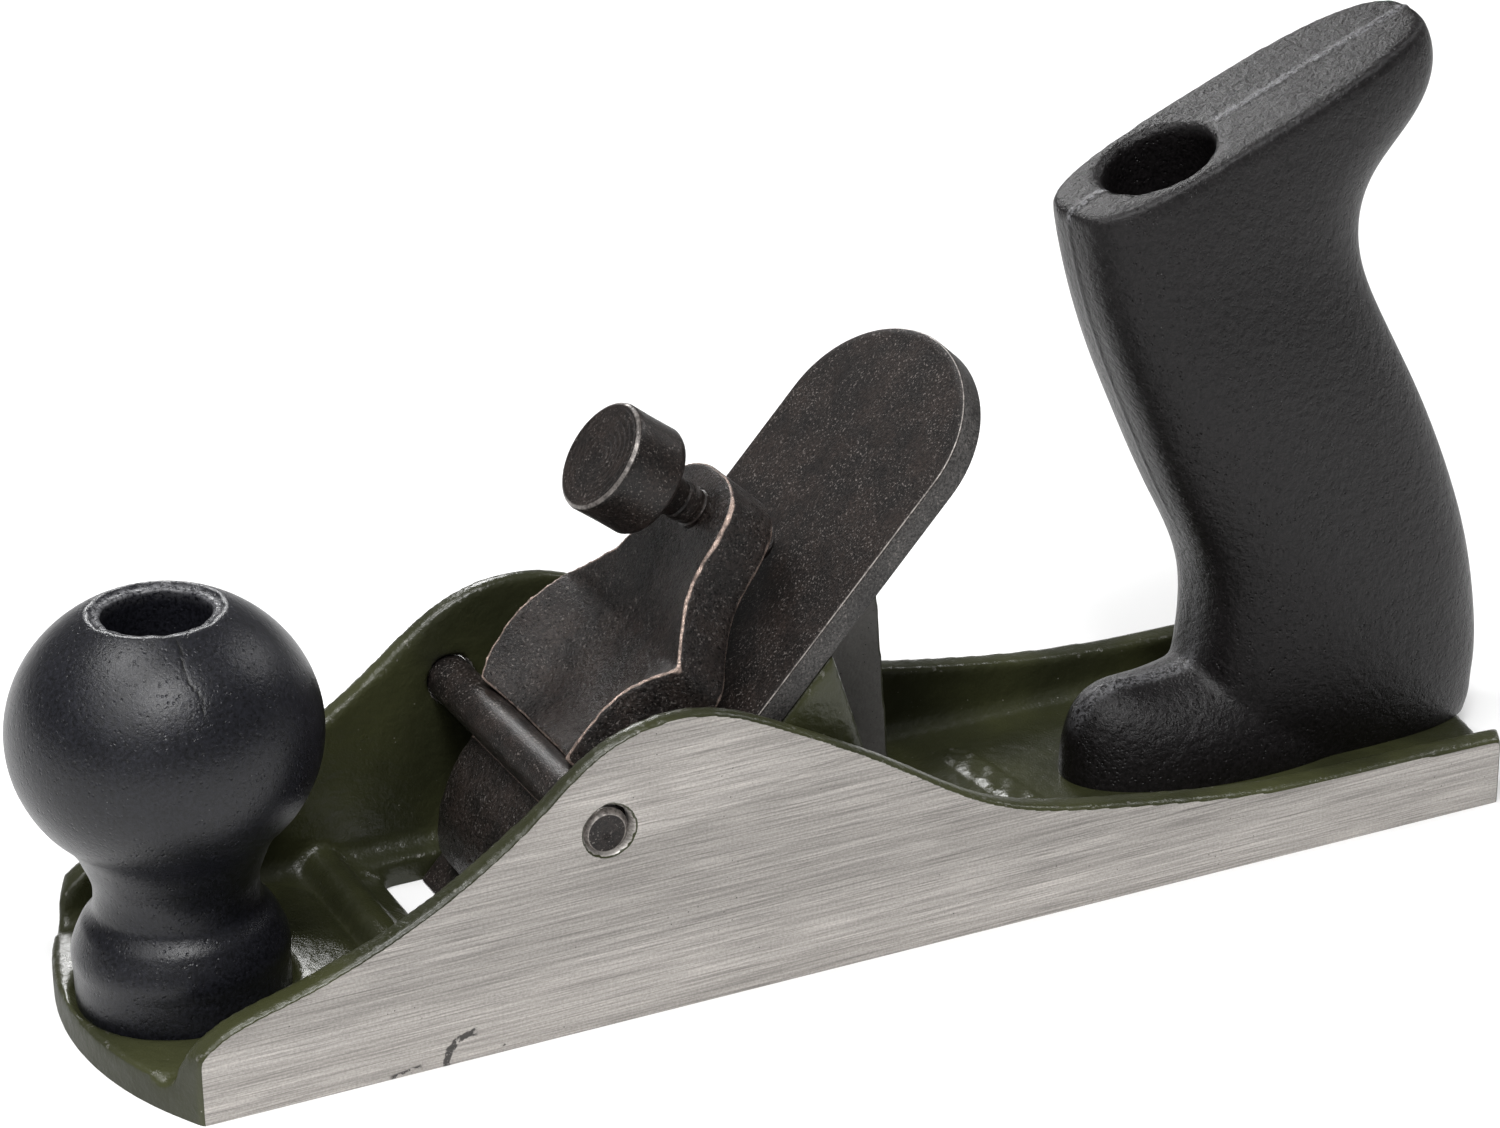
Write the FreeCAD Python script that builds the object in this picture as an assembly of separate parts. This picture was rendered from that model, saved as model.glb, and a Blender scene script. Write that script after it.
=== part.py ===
import FreeCAD, Part
import math
import os

# Bench plane with a ball knob, a pistol handle, one thick iron and a screw lever cap.
# Millimetres. +Z up, toe towards -X, heel towards +X, origin at the centre of the sole.

V = FreeCAD.Vector
UP = V(0, 0, 1)
ACROSS = V(0, 1, 0)

# --- casting -------------------------------------------------------------
BODY_LENGTH = 226.0        # toe to heel along the middle of the sole
BODY_WIDTH = 60.0          # over the ground sides
END_BOW = 8.9              # how far the toe and heel bow out past their corners
FLOOR = 4.2                # sole thickness
WALL = 4.6                 # cheek thickness at the floor
WALL_DRAFT = 2.6           # how far each cheek's inner face leans out per side, in degrees
WALL_ROOT = 3.0            # fillet where cheek meets floor
MOUTH_FROM_TOE = 60.2      # toe to the line where the iron's face meets the sole
MOUTH_GAP = 5.8            # open mouth ahead of the iron's face
MOUTH_SIDE_GAP = 0.4       # iron's side to the end of the mouth
MOUTH_RAMP_RUN = 5.0       # floor slopes down to the mouth over this run
MOUTH_LIP = 1.6            # casting thickness left at the mouth's front edge
BED_ANGLE = 47.2
RAMP_TOP = 14.0            # height of the solid ramp under the iron

CHEEK_END_HEIGHT = 10.4
CHEEK_PEAK_HEIGHT = 43.8
CHEEK_PEAK_FROM_MOUTH = 22.3
REAR_WALL_HEIGHT = 10.8

# --- iron ----------------------------------------------------------------
IRON_LENGTH = 108.7
IRON_THICK = 4.0
IRON_SIDE_GAP = 3.75       # channel side to iron side
IRON_BEVEL = 30.0
IRON_RETRACT = 0.5         # edge held back above the sole, along the bed
IRON_CROWN = 17.0          # length of the rounded top end

# --- frog ribs -----------------------------------------------------------
RIB_THICK = 4.5
RIB_TOP_ALONG = 65.0       # how far up the bed the side ribs reach
RIB_LEAN = 8.0             # side rib's rear edge leans back by this much to the floor
WEB_THICK = 4.4
WEB_TOP_ALONG = 88.4
WEB_LEAN = 4.6
BED_PLATE = 3.5
BED_PLATE_SHORT = 6.0      # bed plate stops this far below the ribs' tops

# --- cross rod -----------------------------------------------------------
ROD_RADIUS = 3.5
ROD_HOLE_CLEARANCE = 0.1
ROD_RECESS = 1.0           # rod end stands this far inside the ground side
ROD_CHAMFER = 0.7
ROD_ALONG = 27.1           # along the bed from the sole
ROD_ABOVE_IRON = 13.6      # rod axis above the iron's face

# --- lever cap -----------------------------------------------------------
CAP_INSET = 1.65           # cap side to iron side
CAP_TILT = 6.0             # cap's front face leans away from the iron
CAP_SEAT_GAP = 0.12        # toe and screw tip to the iron's face
CAP_ROD_CLEARANCE = 0.1
CAP_TOE_ALONG = 5.4
CAP_TOE_LAND = 3.0
CAP_NOSE_HEIGHT = 8.8
CAP_SHOULDER_ALONG = 50.4
CAP_SHOULDER_HEIGHT = 13.8
CAP_WING_HEIGHT = 18.0
CAP_LOBE_ALONG = 66.0
CAP_LOBE_RADIUS = 9.6
CAP_LOBE_THICK = 8.5
CAP_DISH_RADIUS = 32.0
CAP_DISH_DEPTH = 4.0       # below the shoulders

# --- thumb screw ---------------------------------------------------------
STUD_RADIUS = 3.0
STUD_CLEARANCE = 0.05
STUD_TIP_CHAMFER = 1.0
HEAD_RADIUS = 8.3
HEAD_LENGTH = 9.2
HEAD_CHAMFER = 0.5
HEAD_STANDOFF = 8.2        # head's back to the lobe's front
HEAD_SOCKET_DEPTH = 7.0
STUD_ALONG = 69.1          # screw axis on the lobe's front, along the bed

# --- front knob ----------------------------------------------------------
KNOB_FROM_TOE = 16.6
KNOB_PAD_HEIGHT = 0.9
KNOB_SPOT_DEPTH = 1.5       # spot face for the knob, below the pad
KNOB_SPOT_CLEARANCE = 0.6
KNOB_PAD_REACH = 24.8      # knob axis to the pad's rear edge
KNOB_PAD_CORNER = 6.0
PAD_SIDE_GAP = 3.4
KNOB_BASE_RADIUS = 15.0
KNOB_BASE_HEIGHT = 5.8      # straight side above the seat
KNOB_SHOULDER_RADIUS = 14.0
KNOB_SHOULDER_HEIGHT = 14.2
KNOB_NECK_RADIUS = 12.0
KNOB_NECK_HEIGHT = 20.3
KNOB_BALL_RADIUS = 21.6
KNOB_BALL_HALF_HEIGHT = 20.0
KNOB_BALL_HEIGHT = 43.8
KNOB_TOP = 61.8
KNOB_HOLE_RADIUS = 7.5
KNOB_HOLE_FLOOR = 17.0

# --- rib across the floor ahead of the mouth -------------------------------
FLOOR_RIB_HEIGHT = 2.9
FLOOR_RIB_HALF = 3.2

# --- rear handle -----------------------------------------------------------
HANDLE_FROM_HEEL = 68.2    # heel to the front of the handle's foot
HANDLE_HALF_WIDTH = 13.4
HANDLE_TOP_HALF_WIDTH = 12.3
HANDLE_FOOT_REACH = 28.0
HANDLE_FOOT_HEIGHT = 16.0
HANDLE_LEAN = 22.5         # top face slope and bolt lean
HANDLE_TOP_HEIGHT = 96.2   # the sloping top's plane, right above the foot's front
HANDLE_HOLE_RADIUS = 8.6
HANDLE_HOLE_STEP_RADIUS = 7.4
HANDLE_HOLE_STEP_DEPTH = 15.0
HANDLE_HOLE_DEPTH = 62.0
HANDLE_BOLT_BACK = 13.2    # foot's front to the bore's centre on the sloping top

# --- hold-down screws ------------------------------------------------------
BOLT_RADIUS = 3.0
BOLT_HOLE_CLEARANCE = 0.4
THREAD_CLEARANCE = 0.05
TIP_GAP = 0.3              # screw tip to the bottom of its hole
BOLT_HEAD_RADIUS = 5.0
BOLT_HEAD_HEIGHT = 4.0
BOLT_SLOT_WIDTH = 1.4
BOLT_SLOT_DEPTH = 1.8
WASHER_RADIUS = 6.6
WASHER_THICK = 1.5
BOSS_RADIUS = 6.0
BOSS_HEIGHT = 4.0
BOSS_CLEARANCE = 0.3
SOLE_SKIN = 0.8            # metal left under each tapped hole

# --- places worked out from the sizes above --------------------------------
HALF_LENGTH = BODY_LENGTH / 2
HALF_WIDTH = BODY_WIDTH / 2
TOE = -HALF_LENGTH
HEEL = HALF_LENGTH
CHANNEL_HALF = HALF_WIDTH - WALL
FACE_X = TOE + MOUTH_FROM_TOE
IRON_HALF = CHANNEL_HALF - IRON_SIDE_GAP
CAP_HALF = IRON_HALF - CAP_INSET
KNOB_X = TOE + KNOB_FROM_TOE
PAD_TOP = FLOOR + KNOB_PAD_HEIGHT
KNOB_SEAT = PAD_TOP - KNOB_SPOT_DEPTH
HANDLE_X = HEEL - HANDLE_FROM_HEEL
BED = math.radians(BED_ANGLE)
LEAN = math.radians(HANDLE_LEAN)
BED_UP = V(math.cos(BED), 0, math.sin(BED))
BED_OUT = V(-math.sin(BED), 0, math.cos(BED))


def bed(along, above, across=0.0):
    """Point given along the bed from the sole, above the iron's face and across the plane."""
    point = V(FACE_X, across, 0)
    return point + BED_UP * along + BED_OUT * above


def wire_face(points):
    """Flat face inside the closed outline through the points."""
    outline = Part.makePolygon(list(points) + [points[0]])
    return Part.Face(outline)


def prism(points, half_width):
    """Solid with an outline drawn at Y = 0, half_width to each side."""
    face = wire_face([V(p.x, -half_width, p.z) for p in points])
    return face.extrude(V(0, 2 * half_width, 0))


def across_cylinder(centre, radius, half_width):
    """Cylinder along Y, half_width to each side."""
    return Part.makeCylinder(radius, 2 * half_width, V(centre.x, -half_width, centre.z), ACROSS)


def export(shape, name):
    """Write one node's STEP file."""
    shape.exportStep("parts/" + name + ".step")


# --- casting ---------------------------------------------------------------
def sole_outline(z):
    """Closed plan outline with bowed ends at height z."""
    corner = HALF_LENGTH - END_BOW
    toe = Part.Arc(V(-corner, HALF_WIDTH, z), V(TOE, 0, z), V(-corner, -HALF_WIDTH, z)).toShape()
    near = Part.makeLine(V(-corner, -HALF_WIDTH, z), V(corner, -HALF_WIDTH, z))
    heel = Part.Arc(V(corner, -HALF_WIDTH, z), V(HEEL, 0, z), V(corner, HALF_WIDTH, z)).toShape()
    far = Part.makeLine(V(corner, HALF_WIDTH, z), V(-corner, HALF_WIDTH, z))
    return Part.Wire([toe, near, heel, far])


def cheek_curve(y):
    """Top edge of a cheek, from toe to heel, as one smooth curve."""
    peak = FACE_X + CHEEK_PEAK_FROM_MOUTH
    corner = HALF_LENGTH - END_BOW
    end = CHEEK_END_HEIGHT
    top = CHEEK_PEAK_HEIGHT
    rear = REAR_WALL_HEIGHT
    points = [
        V(-corner - 2.4, y, end - 4.2),
        V(-corner - 1.0, y, end - 1.4),
        V(-corner + 2.5, y, end + 1.2),
        V(-corner + 12, y, end + 4.3),
        V(peak - 41, y, top - 21.0),
        V(peak - 25, y, top - 10.6),
        V(peak - 14, y, top - 2.3),
        V(peak, y, top),
        V(peak + 14, y, top - 5.4),
        V(peak + 31, y, top - 15.0),
        V(peak + 47, y, rear + 8.6),
        V(peak + 66, y, rear + 3.8),
        V(peak + 91, y, rear + 0.6),
        V(corner - 12, y, rear),
        V(HEEL + 1, y, rear - 0.8),
    ]
    curve = Part.BSplineCurve()
    curve.interpolate(points)
    return curve.toShape()


def side_block():
    """The casting's side view, full width, cut to the bowed plan outline."""
    y = -HALF_WIDTH
    top = cheek_curve(y)
    start = top.Vertexes[0].Point
    stop = top.Vertexes[-1].Point
    low = V(start.x, y, FLOOR)
    edges = [
        top,
        Part.makeLine(stop, V(stop.x, y, 0)),
        Part.makeLine(V(stop.x, y, 0), V(TOE - 1, y, 0)),
        Part.makeLine(V(TOE - 1, y, 0), V(TOE - 1, y, FLOOR)),
        Part.makeLine(V(TOE - 1, y, FLOOR), low),
        Part.makeLine(low, start),
    ]
    side = Part.Face(Part.Wire(edges)).extrude(V(0, BODY_WIDTH, 0))
    plan = Part.Face(sole_outline(0)).extrude(V(0, 0, 2 * CHEEK_PEAK_HEIGHT))
    return side.common(plan)


def channel():
    """Space between the cheeks above the floor, with drafted sides and rounded roots."""
    height = 2 * CHEEK_PEAK_HEIGHT
    spread = CHANNEL_HALF + height * math.tan(math.radians(WALL_DRAFT))
    start = TOE - 10
    section = wire_face([
        V(start, -CHANNEL_HALF, FLOOR),
        V(start, CHANNEL_HALF, FLOOR),
        V(start, spread, FLOOR + height),
        V(start, -spread, FLOOR + height),
    ])
    space = section.extrude(V(BODY_LENGTH + 20, 0, 0))
    roots = []
    for edge in space.Edges:
        along = edge.BoundBox.XLength > BODY_LENGTH
        if along and edge.BoundBox.ZMax < FLOOR + 1:
            roots.append(edge)
    return space.makeFillet(WALL_ROOT, roots)


def frog():
    """Ramp, bed plate, side ribs and central web that carry the iron."""
    back = -IRON_THICK
    foot = V(FACE_X + IRON_THICK / math.sin(BED), 0, 0)
    ramp_end = foot + BED_UP * (RAMP_TOP / math.sin(BED))
    ramp = prism([foot, ramp_end, V(ramp_end.x + 6, 0, RAMP_TOP), V(ramp_end.x + 10, 0, 0)],
                 CHANNEL_HALF + 1)
    rib_top = bed(RIB_TOP_ALONG, back)
    rib_points = [foot, rib_top, V(rib_top.x + RIB_LEAN + 6, 0, 1)]
    ribs = prism(rib_points, IRON_HALF).cut(prism(rib_points, IRON_HALF - RIB_THICK))
    web_top = bed(WEB_TOP_ALONG, back)
    web = prism([foot, web_top, V(web_top.x + WEB_LEAN, 0, 1)], WEB_THICK / 2)
    plate_top = RIB_TOP_ALONG - BED_PLATE_SHORT
    plate = prism([foot, bed(plate_top, back), bed(plate_top, back - BED_PLATE),
                   V(foot.x + BED_PLATE / math.sin(BED), 0, 0)], IRON_HALF)
    return ramp.fuse([ribs, web, plate])


def knob_pad():
    """Low raised pad under the knob."""
    half = CHANNEL_HALF - PAD_SIDE_GAP
    rear = KNOB_X + KNOB_PAD_REACH
    front = TOE - 5
    pad = Part.makeBox(rear - front, 2 * half, PAD_TOP - 1, V(front, -half, 1))
    corners = []
    for edge in pad.Edges:
        upright = edge.BoundBox.ZLength > KNOB_PAD_HEIGHT and edge.BoundBox.XLength < 0.01
        if upright and edge.BoundBox.Center.x > KNOB_X and edge.BoundBox.YLength < 0.01:
            corners.append(edge)
    pad = pad.makeFillet(KNOB_PAD_CORNER, corners)
    plan = Part.Face(sole_outline(0)).extrude(V(0, 0, PAD_TOP + 1))
    return pad.common(plan)


def knob_spot_face():
    """Recess in the pad that the knob's base stands in."""
    radius = KNOB_BASE_RADIUS + KNOB_SPOT_CLEARANCE
    return Part.makeCylinder(radius, KNOB_SPOT_DEPTH + 1, V(KNOB_X, 0, KNOB_SEAT), UP)


def floor_rib():
    """Rounded rib across the floor between the pad and the mouth."""
    mouth_front = FACE_X - MOUTH_GAP
    x = mouth_front - MOUTH_RAMP_RUN - FLOOR_RIB_HALF
    rise = FLOOR_RIB_HEIGHT
    radius = (FLOOR_RIB_HALF ** 2 + rise ** 2) / (2 * rise)
    return across_cylinder(V(x, 0, FLOOR + rise - radius), radius, CHANNEL_HALF)


def mouth_cut():
    """Mouth through the sole, with a ramp down to its front edge."""
    front = FACE_X - MOUTH_GAP
    half = IRON_HALF + MOUTH_SIDE_GAP
    rear = V(FACE_X + IRON_THICK / math.sin(BED), 0, 0)
    above = FLOOR + 4.0
    slot = prism([
        V(front, 0, -1),
        V(rear.x - 1 / math.tan(BED), 0, -1),
        V(rear.x + above / math.tan(BED), 0, above),
        V(front, 0, above),
    ], half)
    ramp = prism([
        V(front + 1, 0, MOUTH_LIP),
        V(front, 0, MOUTH_LIP),
        V(front - MOUTH_RAMP_RUN, 0, FLOOR),
        V(front - MOUTH_RAMP_RUN, 0, above),
        V(front + 1, 0, above),
    ], half)
    return slot.fuse(ramp)


def boss(foot, axis):
    """Boss that a hold-down screw taps into."""
    return Part.makeCylinder(BOSS_RADIUS, BOSS_HEIGHT + FLOOR, foot - axis * FLOOR, axis)


def handle_axis():
    """Direction of the handle's screw, pointing up out of the handle."""
    return V(-math.sin(LEAN), 0, math.cos(LEAN))


def handle_top_centre():
    """Centre of the handle's bore on its sloping top."""
    x = HANDLE_X + HANDLE_BOLT_BACK
    z = HANDLE_TOP_HEIGHT + HANDLE_BOLT_BACK * math.tan(LEAN)
    return V(x, 0, z)


def handle_bolt_foot():
    """Where the handle's screw axis meets the floor."""
    top = handle_top_centre()
    axis = handle_axis()
    return top - axis * ((top.z - FLOOR) / axis.z)


def handle_thread_depth():
    """How deep the handle's tapped hole runs below the floor, along its axis."""
    return (FLOOR - SOLE_SKIN - BOLT_RADIUS * math.sin(LEAN)) / math.cos(LEAN)


def rod_centre():
    """Axis of the cross rod."""
    return bed(ROD_ALONG, ROD_ABOVE_IRON)


def tapped_hole(foot, axis, depth):
    """Hole for a screw, open at the boss's top."""
    radius = BOLT_RADIUS + THREAD_CLEARANCE
    start = foot - axis * depth
    return Part.makeCylinder(radius, depth + BOSS_HEIGHT + 1, start, axis)


def body_casting():
    """Sole, cheeks, frog, pad and bosses as one casting."""
    shape = side_block().cut(channel())
    inside = [frog(), knob_pad(), floor_rib()]
    shape = shape.fuse(inside)
    shape = shape.cut([mouth_cut(), knob_spot_face()])
    knob_foot = V(KNOB_X, 0, KNOB_SEAT)
    bolt_foot = handle_bolt_foot()
    lean_axis = handle_axis()
    keep = Part.makeBox(BODY_LENGTH + 40, BODY_WIDTH, 4 * BODY_WIDTH, V(TOE - 20, -HALF_WIDTH, 0))
    shape = shape.fuse([boss(knob_foot, UP), boss(bolt_foot, lean_axis).common(keep)])
    knob_depth = KNOB_SEAT - SOLE_SKIN
    holes = [
        tapped_hole(knob_foot, UP, knob_depth),
        tapped_hole(bolt_foot, lean_axis, handle_thread_depth()),
        across_cylinder(rod_centre(), ROD_RADIUS + ROD_HOLE_CLEARANCE, BODY_WIDTH),
    ]
    return shape.cut(holes).removeSplitter()


# --- rod, iron, lever cap and thumb screw ------------------------------------
def cross_rod():
    """Plain rod with chamfered ends, just inside the ground sides."""
    half = HALF_WIDTH - ROD_RECESS
    rod = across_cylinder(rod_centre(), ROD_RADIUS, half)
    ends = [e for e in rod.Edges if e.Closed]
    return rod.makeChamfer(ROD_CHAMFER, ends)


def plane_iron():
    """Thick iron with a bevelled edge and a rounded top end."""
    start = IRON_RETRACT
    shoulder = start + IRON_LENGTH - IRON_CROWN
    left = [bed(start, 0, -IRON_HALF), bed(shoulder, 0, -IRON_HALF)]
    right = [bed(shoulder, 0, IRON_HALF), bed(start, 0, IRON_HALF)]
    arc_points = []
    steps = 12
    for step in range(steps + 1):
        angle = math.pi * step / steps
        arc_points.append(bed(shoulder + IRON_CROWN * math.sin(angle), 0,
                              -IRON_HALF * math.cos(angle)))
    crown = Part.BSplineCurve()
    crown.interpolate(Points=arc_points, InitialTangent=BED_UP, FinalTangent=BED_UP * -1)
    outline = Part.Wire([
        Part.makeLine(left[0], left[1]),
        crown.toShape(),
        Part.makeLine(right[0], right[1]),
        Part.makeLine(right[1], left[0]),
    ])
    blank = Part.Face(outline).extrude(BED_OUT * -IRON_THICK)
    run = (IRON_THICK + 1) / math.tan(math.radians(IRON_BEVEL))
    bevel = prism([bed(start - 5, 0.0), bed(start, 0), bed(start + run, -IRON_THICK - 1),
                   bed(start - 5, -IRON_THICK - 1)], BODY_WIDTH)
    return blank.cut(bevel)


def cap_side_profile():
    """Side view of the lever cap in bed coordinates (along, above)."""
    tilt = math.tan(math.radians(CAP_TILT))
    seat = CAP_SEAT_GAP
    toe = CAP_TOE_ALONG
    lobe_end = CAP_LOBE_ALONG + CAP_LOBE_RADIUS
    lobe_front = CAP_SHOULDER_HEIGHT + (lobe_end - CAP_SHOULDER_ALONG) * tilt
    under = lobe_front - CAP_LOBE_THICK
    shoulder_under = under - (lobe_end - CAP_SHOULDER_ALONG) * tilt
    wing_low = ROD_ALONG + ROD_RADIUS + 0.8
    return [
        (toe, seat),
        (toe + 0.4, 3.2),
        (toe + 2.6, 6.2),
        (toe + 7.6, CAP_NOSE_HEIGHT),
        (ROD_ALONG - 7, ROD_ABOVE_IRON - 2.6),
        (ROD_ALONG - 3.4, ROD_ABOVE_IRON - 2.2),
        (ROD_ALONG, ROD_ABOVE_IRON - 1.0),
        (wing_low, CAP_WING_HEIGHT - 1.2),
        (wing_low + 4.5, CAP_WING_HEIGHT),
        (wing_low + 9.5, CAP_WING_HEIGHT - 0.1),
        (CAP_SHOULDER_ALONG - 4, CAP_WING_HEIGHT - 1.9),
        (CAP_SHOULDER_ALONG, CAP_SHOULDER_HEIGHT),
        (lobe_end, lobe_front),
        (lobe_end, under),
        (CAP_SHOULDER_ALONG, shoulder_under),
        (ROD_ALONG, seat + 3.2),
        (toe + CAP_TOE_LAND + 3, seat + 1.2),
        (toe + CAP_TOE_LAND, seat),
    ]


def cap_plan():
    """Plan of the lever cap: broad toe, square shoulders, narrow neck and round lobe."""
    half = CAP_HALF
    neck = CAP_LOBE_RADIUS
    lobe = CAP_LOBE_ALONG
    shoulder = CAP_SHOULDER_ALONG
    low = -30.0

    def at(along, across):
        return bed(along, low, across)

    edges = [
        Part.makeLine(at(0, -half), at(shoulder, -half)),
        Part.makeLine(at(shoulder, -half), at(shoulder, -half + 0.6)),
        Part.Arc(at(shoulder, -half + 0.6), at(shoulder + 5.6, -neck - 3.0),
                 at(shoulder + 13, -neck)).toShape(),
        Part.makeLine(at(shoulder + 13, -neck), at(lobe, -neck)),
        Part.Arc(at(lobe, -neck), at(lobe + neck, 0), at(lobe, neck)).toShape(),
        Part.makeLine(at(lobe, neck), at(shoulder + 13, neck)),
        Part.Arc(at(shoulder + 13, neck), at(shoulder + 5.6, neck + 3.0),
                 at(shoulder, half - 0.6)).toShape(),
        Part.makeLine(at(shoulder, half - 0.6), at(shoulder, half)),
        Part.makeLine(at(shoulder, half), at(0, half)),
        Part.makeLine(at(0, half), at(0, -half)),
    ]
    return Part.Face(Part.Wire(edges)).extrude(BED_OUT * 80)


def screw_axis():
    """Direction of the thumb screw, pointing out of the lever cap."""
    angle = BED + math.radians(CAP_TILT)
    return V(-math.sin(angle), 0, math.cos(angle))


def lobe_point():
    """Where the thumb screw's axis leaves the lobe's front."""
    tilt = math.tan(math.radians(CAP_TILT))
    height = CAP_SHOULDER_HEIGHT + (STUD_ALONG - CAP_SHOULDER_ALONG) * tilt
    return bed(STUD_ALONG, height)


def screw_tip():
    """Tip of the stud, just clear of the iron."""
    point = lobe_point()
    axis = screw_axis()
    height = (point - V(FACE_X, 0, 0)).dot(BED_OUT)
    lift = CAP_SEAT_GAP + (STUD_RADIUS - STUD_TIP_CHAMFER) * math.sin(math.radians(CAP_TILT))
    return point - axis * ((height - lift) / axis.dot(BED_OUT))


def lever_cap():
    """Cast lever cap with a groove for the rod, raised wings and a tapped lobe."""
    block = prism([bed(a, t) for a, t in cap_side_profile()], CAP_HALF)
    cap = block.common(cap_plan())
    groove = across_cylinder(rod_centre(), ROD_RADIUS + CAP_ROD_CLEARANCE, BODY_WIDTH)
    slot_low = bed(ROD_ALONG - ROD_RADIUS - CAP_ROD_CLEARANCE, ROD_ABOVE_IRON)
    slot_high = bed(ROD_ALONG + ROD_RADIUS + CAP_ROD_CLEARANCE, ROD_ABOVE_IRON)
    slot = prism([slot_low, slot_high, slot_high + BED_OUT * 20, slot_low + BED_OUT * 20],
                 BODY_WIDTH)
    dish = Part.makeSphere(CAP_DISH_RADIUS)
    dish.translate(bed(CAP_SHOULDER_ALONG, CAP_SHOULDER_HEIGHT - CAP_DISH_DEPTH + CAP_DISH_RADIUS))
    tapped = Part.makeCylinder(STUD_RADIUS + STUD_CLEARANCE, 60,
                               lobe_point() - screw_axis() * 30, screw_axis())
    return cap.cut([groove, slot, dish, tapped])


def screw_stud():
    """Threaded stud from its tip to its seat in the head."""
    tip = screw_tip()
    axis = screw_axis()
    back = lobe_point() + axis * HEAD_STANDOFF
    length = (back - tip).Length + HEAD_SOCKET_DEPTH - TIP_GAP
    stud = Part.makeCylinder(STUD_RADIUS, length, tip, axis)
    tip_edge = [e for e in stud.Edges if e.Closed and (e.BoundBox.Center - tip).Length < 0.1]
    return stud.makeChamfer(STUD_TIP_CHAMFER, tip_edge)


def screw_head():
    """Turned head with a chamfered rim, bored for the stud."""
    axis = screw_axis()
    back = lobe_point() + axis * HEAD_STANDOFF
    head = Part.makeCylinder(HEAD_RADIUS, HEAD_LENGTH, back, axis)
    rims = [e for e in head.Edges if e.Closed]
    head = head.makeChamfer(HEAD_CHAMFER, rims)
    socket = Part.makeCylinder(STUD_RADIUS + STUD_CLEARANCE, HEAD_SOCKET_DEPTH + 1,
                               back - axis, axis)
    return head.cut(socket)


# --- knob and handle ---------------------------------------------------------
def recess(foot, axis):
    """Clearance for the boss under a knob or handle."""
    radius = BOSS_RADIUS + BOSS_CLEARANCE
    length = BOSS_HEIGHT + BOSS_CLEARANCE
    return Part.makeCylinder(radius, length + FLOOR, foot - axis * FLOOR, axis)


def front_knob():
    """Ball knob, turned shape with a deep stepped hole."""
    base = KNOB_SEAT
    ball = KNOB_BALL_HEIGHT
    side = base + KNOB_BASE_HEIGHT
    low = math.asin(-0.72)
    high = math.asin((KNOB_TOP - ball) / KNOB_BALL_HALF_HEIGHT)
    outline = [
        V(KNOB_BASE_RADIUS, 0, side),
        V(KNOB_BASE_RADIUS - 0.2, 0, side + 2.4),
        V(KNOB_SHOULDER_RADIUS, 0, KNOB_SHOULDER_HEIGHT),
        V(KNOB_NECK_RADIUS + 0.5, 0, KNOB_NECK_HEIGHT - 2.8),
        V(KNOB_NECK_RADIUS, 0, KNOB_NECK_HEIGHT + 0.6),
        V(KNOB_NECK_RADIUS + 0.7, 0, KNOB_NECK_HEIGHT + 5),
    ]
    steps = 12
    for step in range(steps + 1):
        angle = low + (high - low) * step / steps
        outline.append(V(KNOB_BALL_RADIUS * math.cos(angle), 0,
                         ball + KNOB_BALL_HALF_HEIGHT * math.sin(angle)))
    side_curve = Part.BSplineCurve()
    side_curve.interpolate(outline)
    edges = [
        Part.makeLine(V(0, 0, base), V(KNOB_BASE_RADIUS, 0, base)),
        Part.makeLine(V(KNOB_BASE_RADIUS, 0, base), V(KNOB_BASE_RADIUS, 0, side)),
        side_curve.toShape(),
        Part.makeLine(outline[-1], V(0, 0, KNOB_TOP)),
        Part.makeLine(V(0, 0, KNOB_TOP), V(0, 0, base)),
    ]
    knob = Part.Face(Part.Wire(edges)).revolve(V(0, 0, 0), UP, 360)
    knob.translate(V(KNOB_X, 0, 0))
    foot = V(KNOB_X, 0, KNOB_SEAT)
    hole = Part.makeCylinder(KNOB_HOLE_RADIUS, KNOB_TOP, V(KNOB_X, 0, KNOB_HOLE_FLOOR), UP)
    through = Part.makeCylinder(BOLT_RADIUS + BOLT_HOLE_CLEARANCE, KNOB_TOP, V(KNOB_X, 0, 0), UP)
    return knob.cut([hole, through, recess(foot, UP)])


def handle_section(front, back, half_width, z):
    """Closed rounded outline of the handle at height z."""
    centre = (front + back) / 2
    reach = (back - front) / 2
    points = []
    count = 16
    for step in range(count):
        angle = 2 * math.pi * step / count
        c = math.cos(angle)
        s = math.sin(angle)
        x = reach * math.copysign(abs(c) ** 0.82, c)
        y = half_width * math.copysign(abs(s) ** 0.62, s)
        points.append(V(centre + x, y, z))
    curve = Part.BSplineCurve()
    curve.interpolate(points, True)
    return Part.Wire([curve.toShape()])


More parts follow.
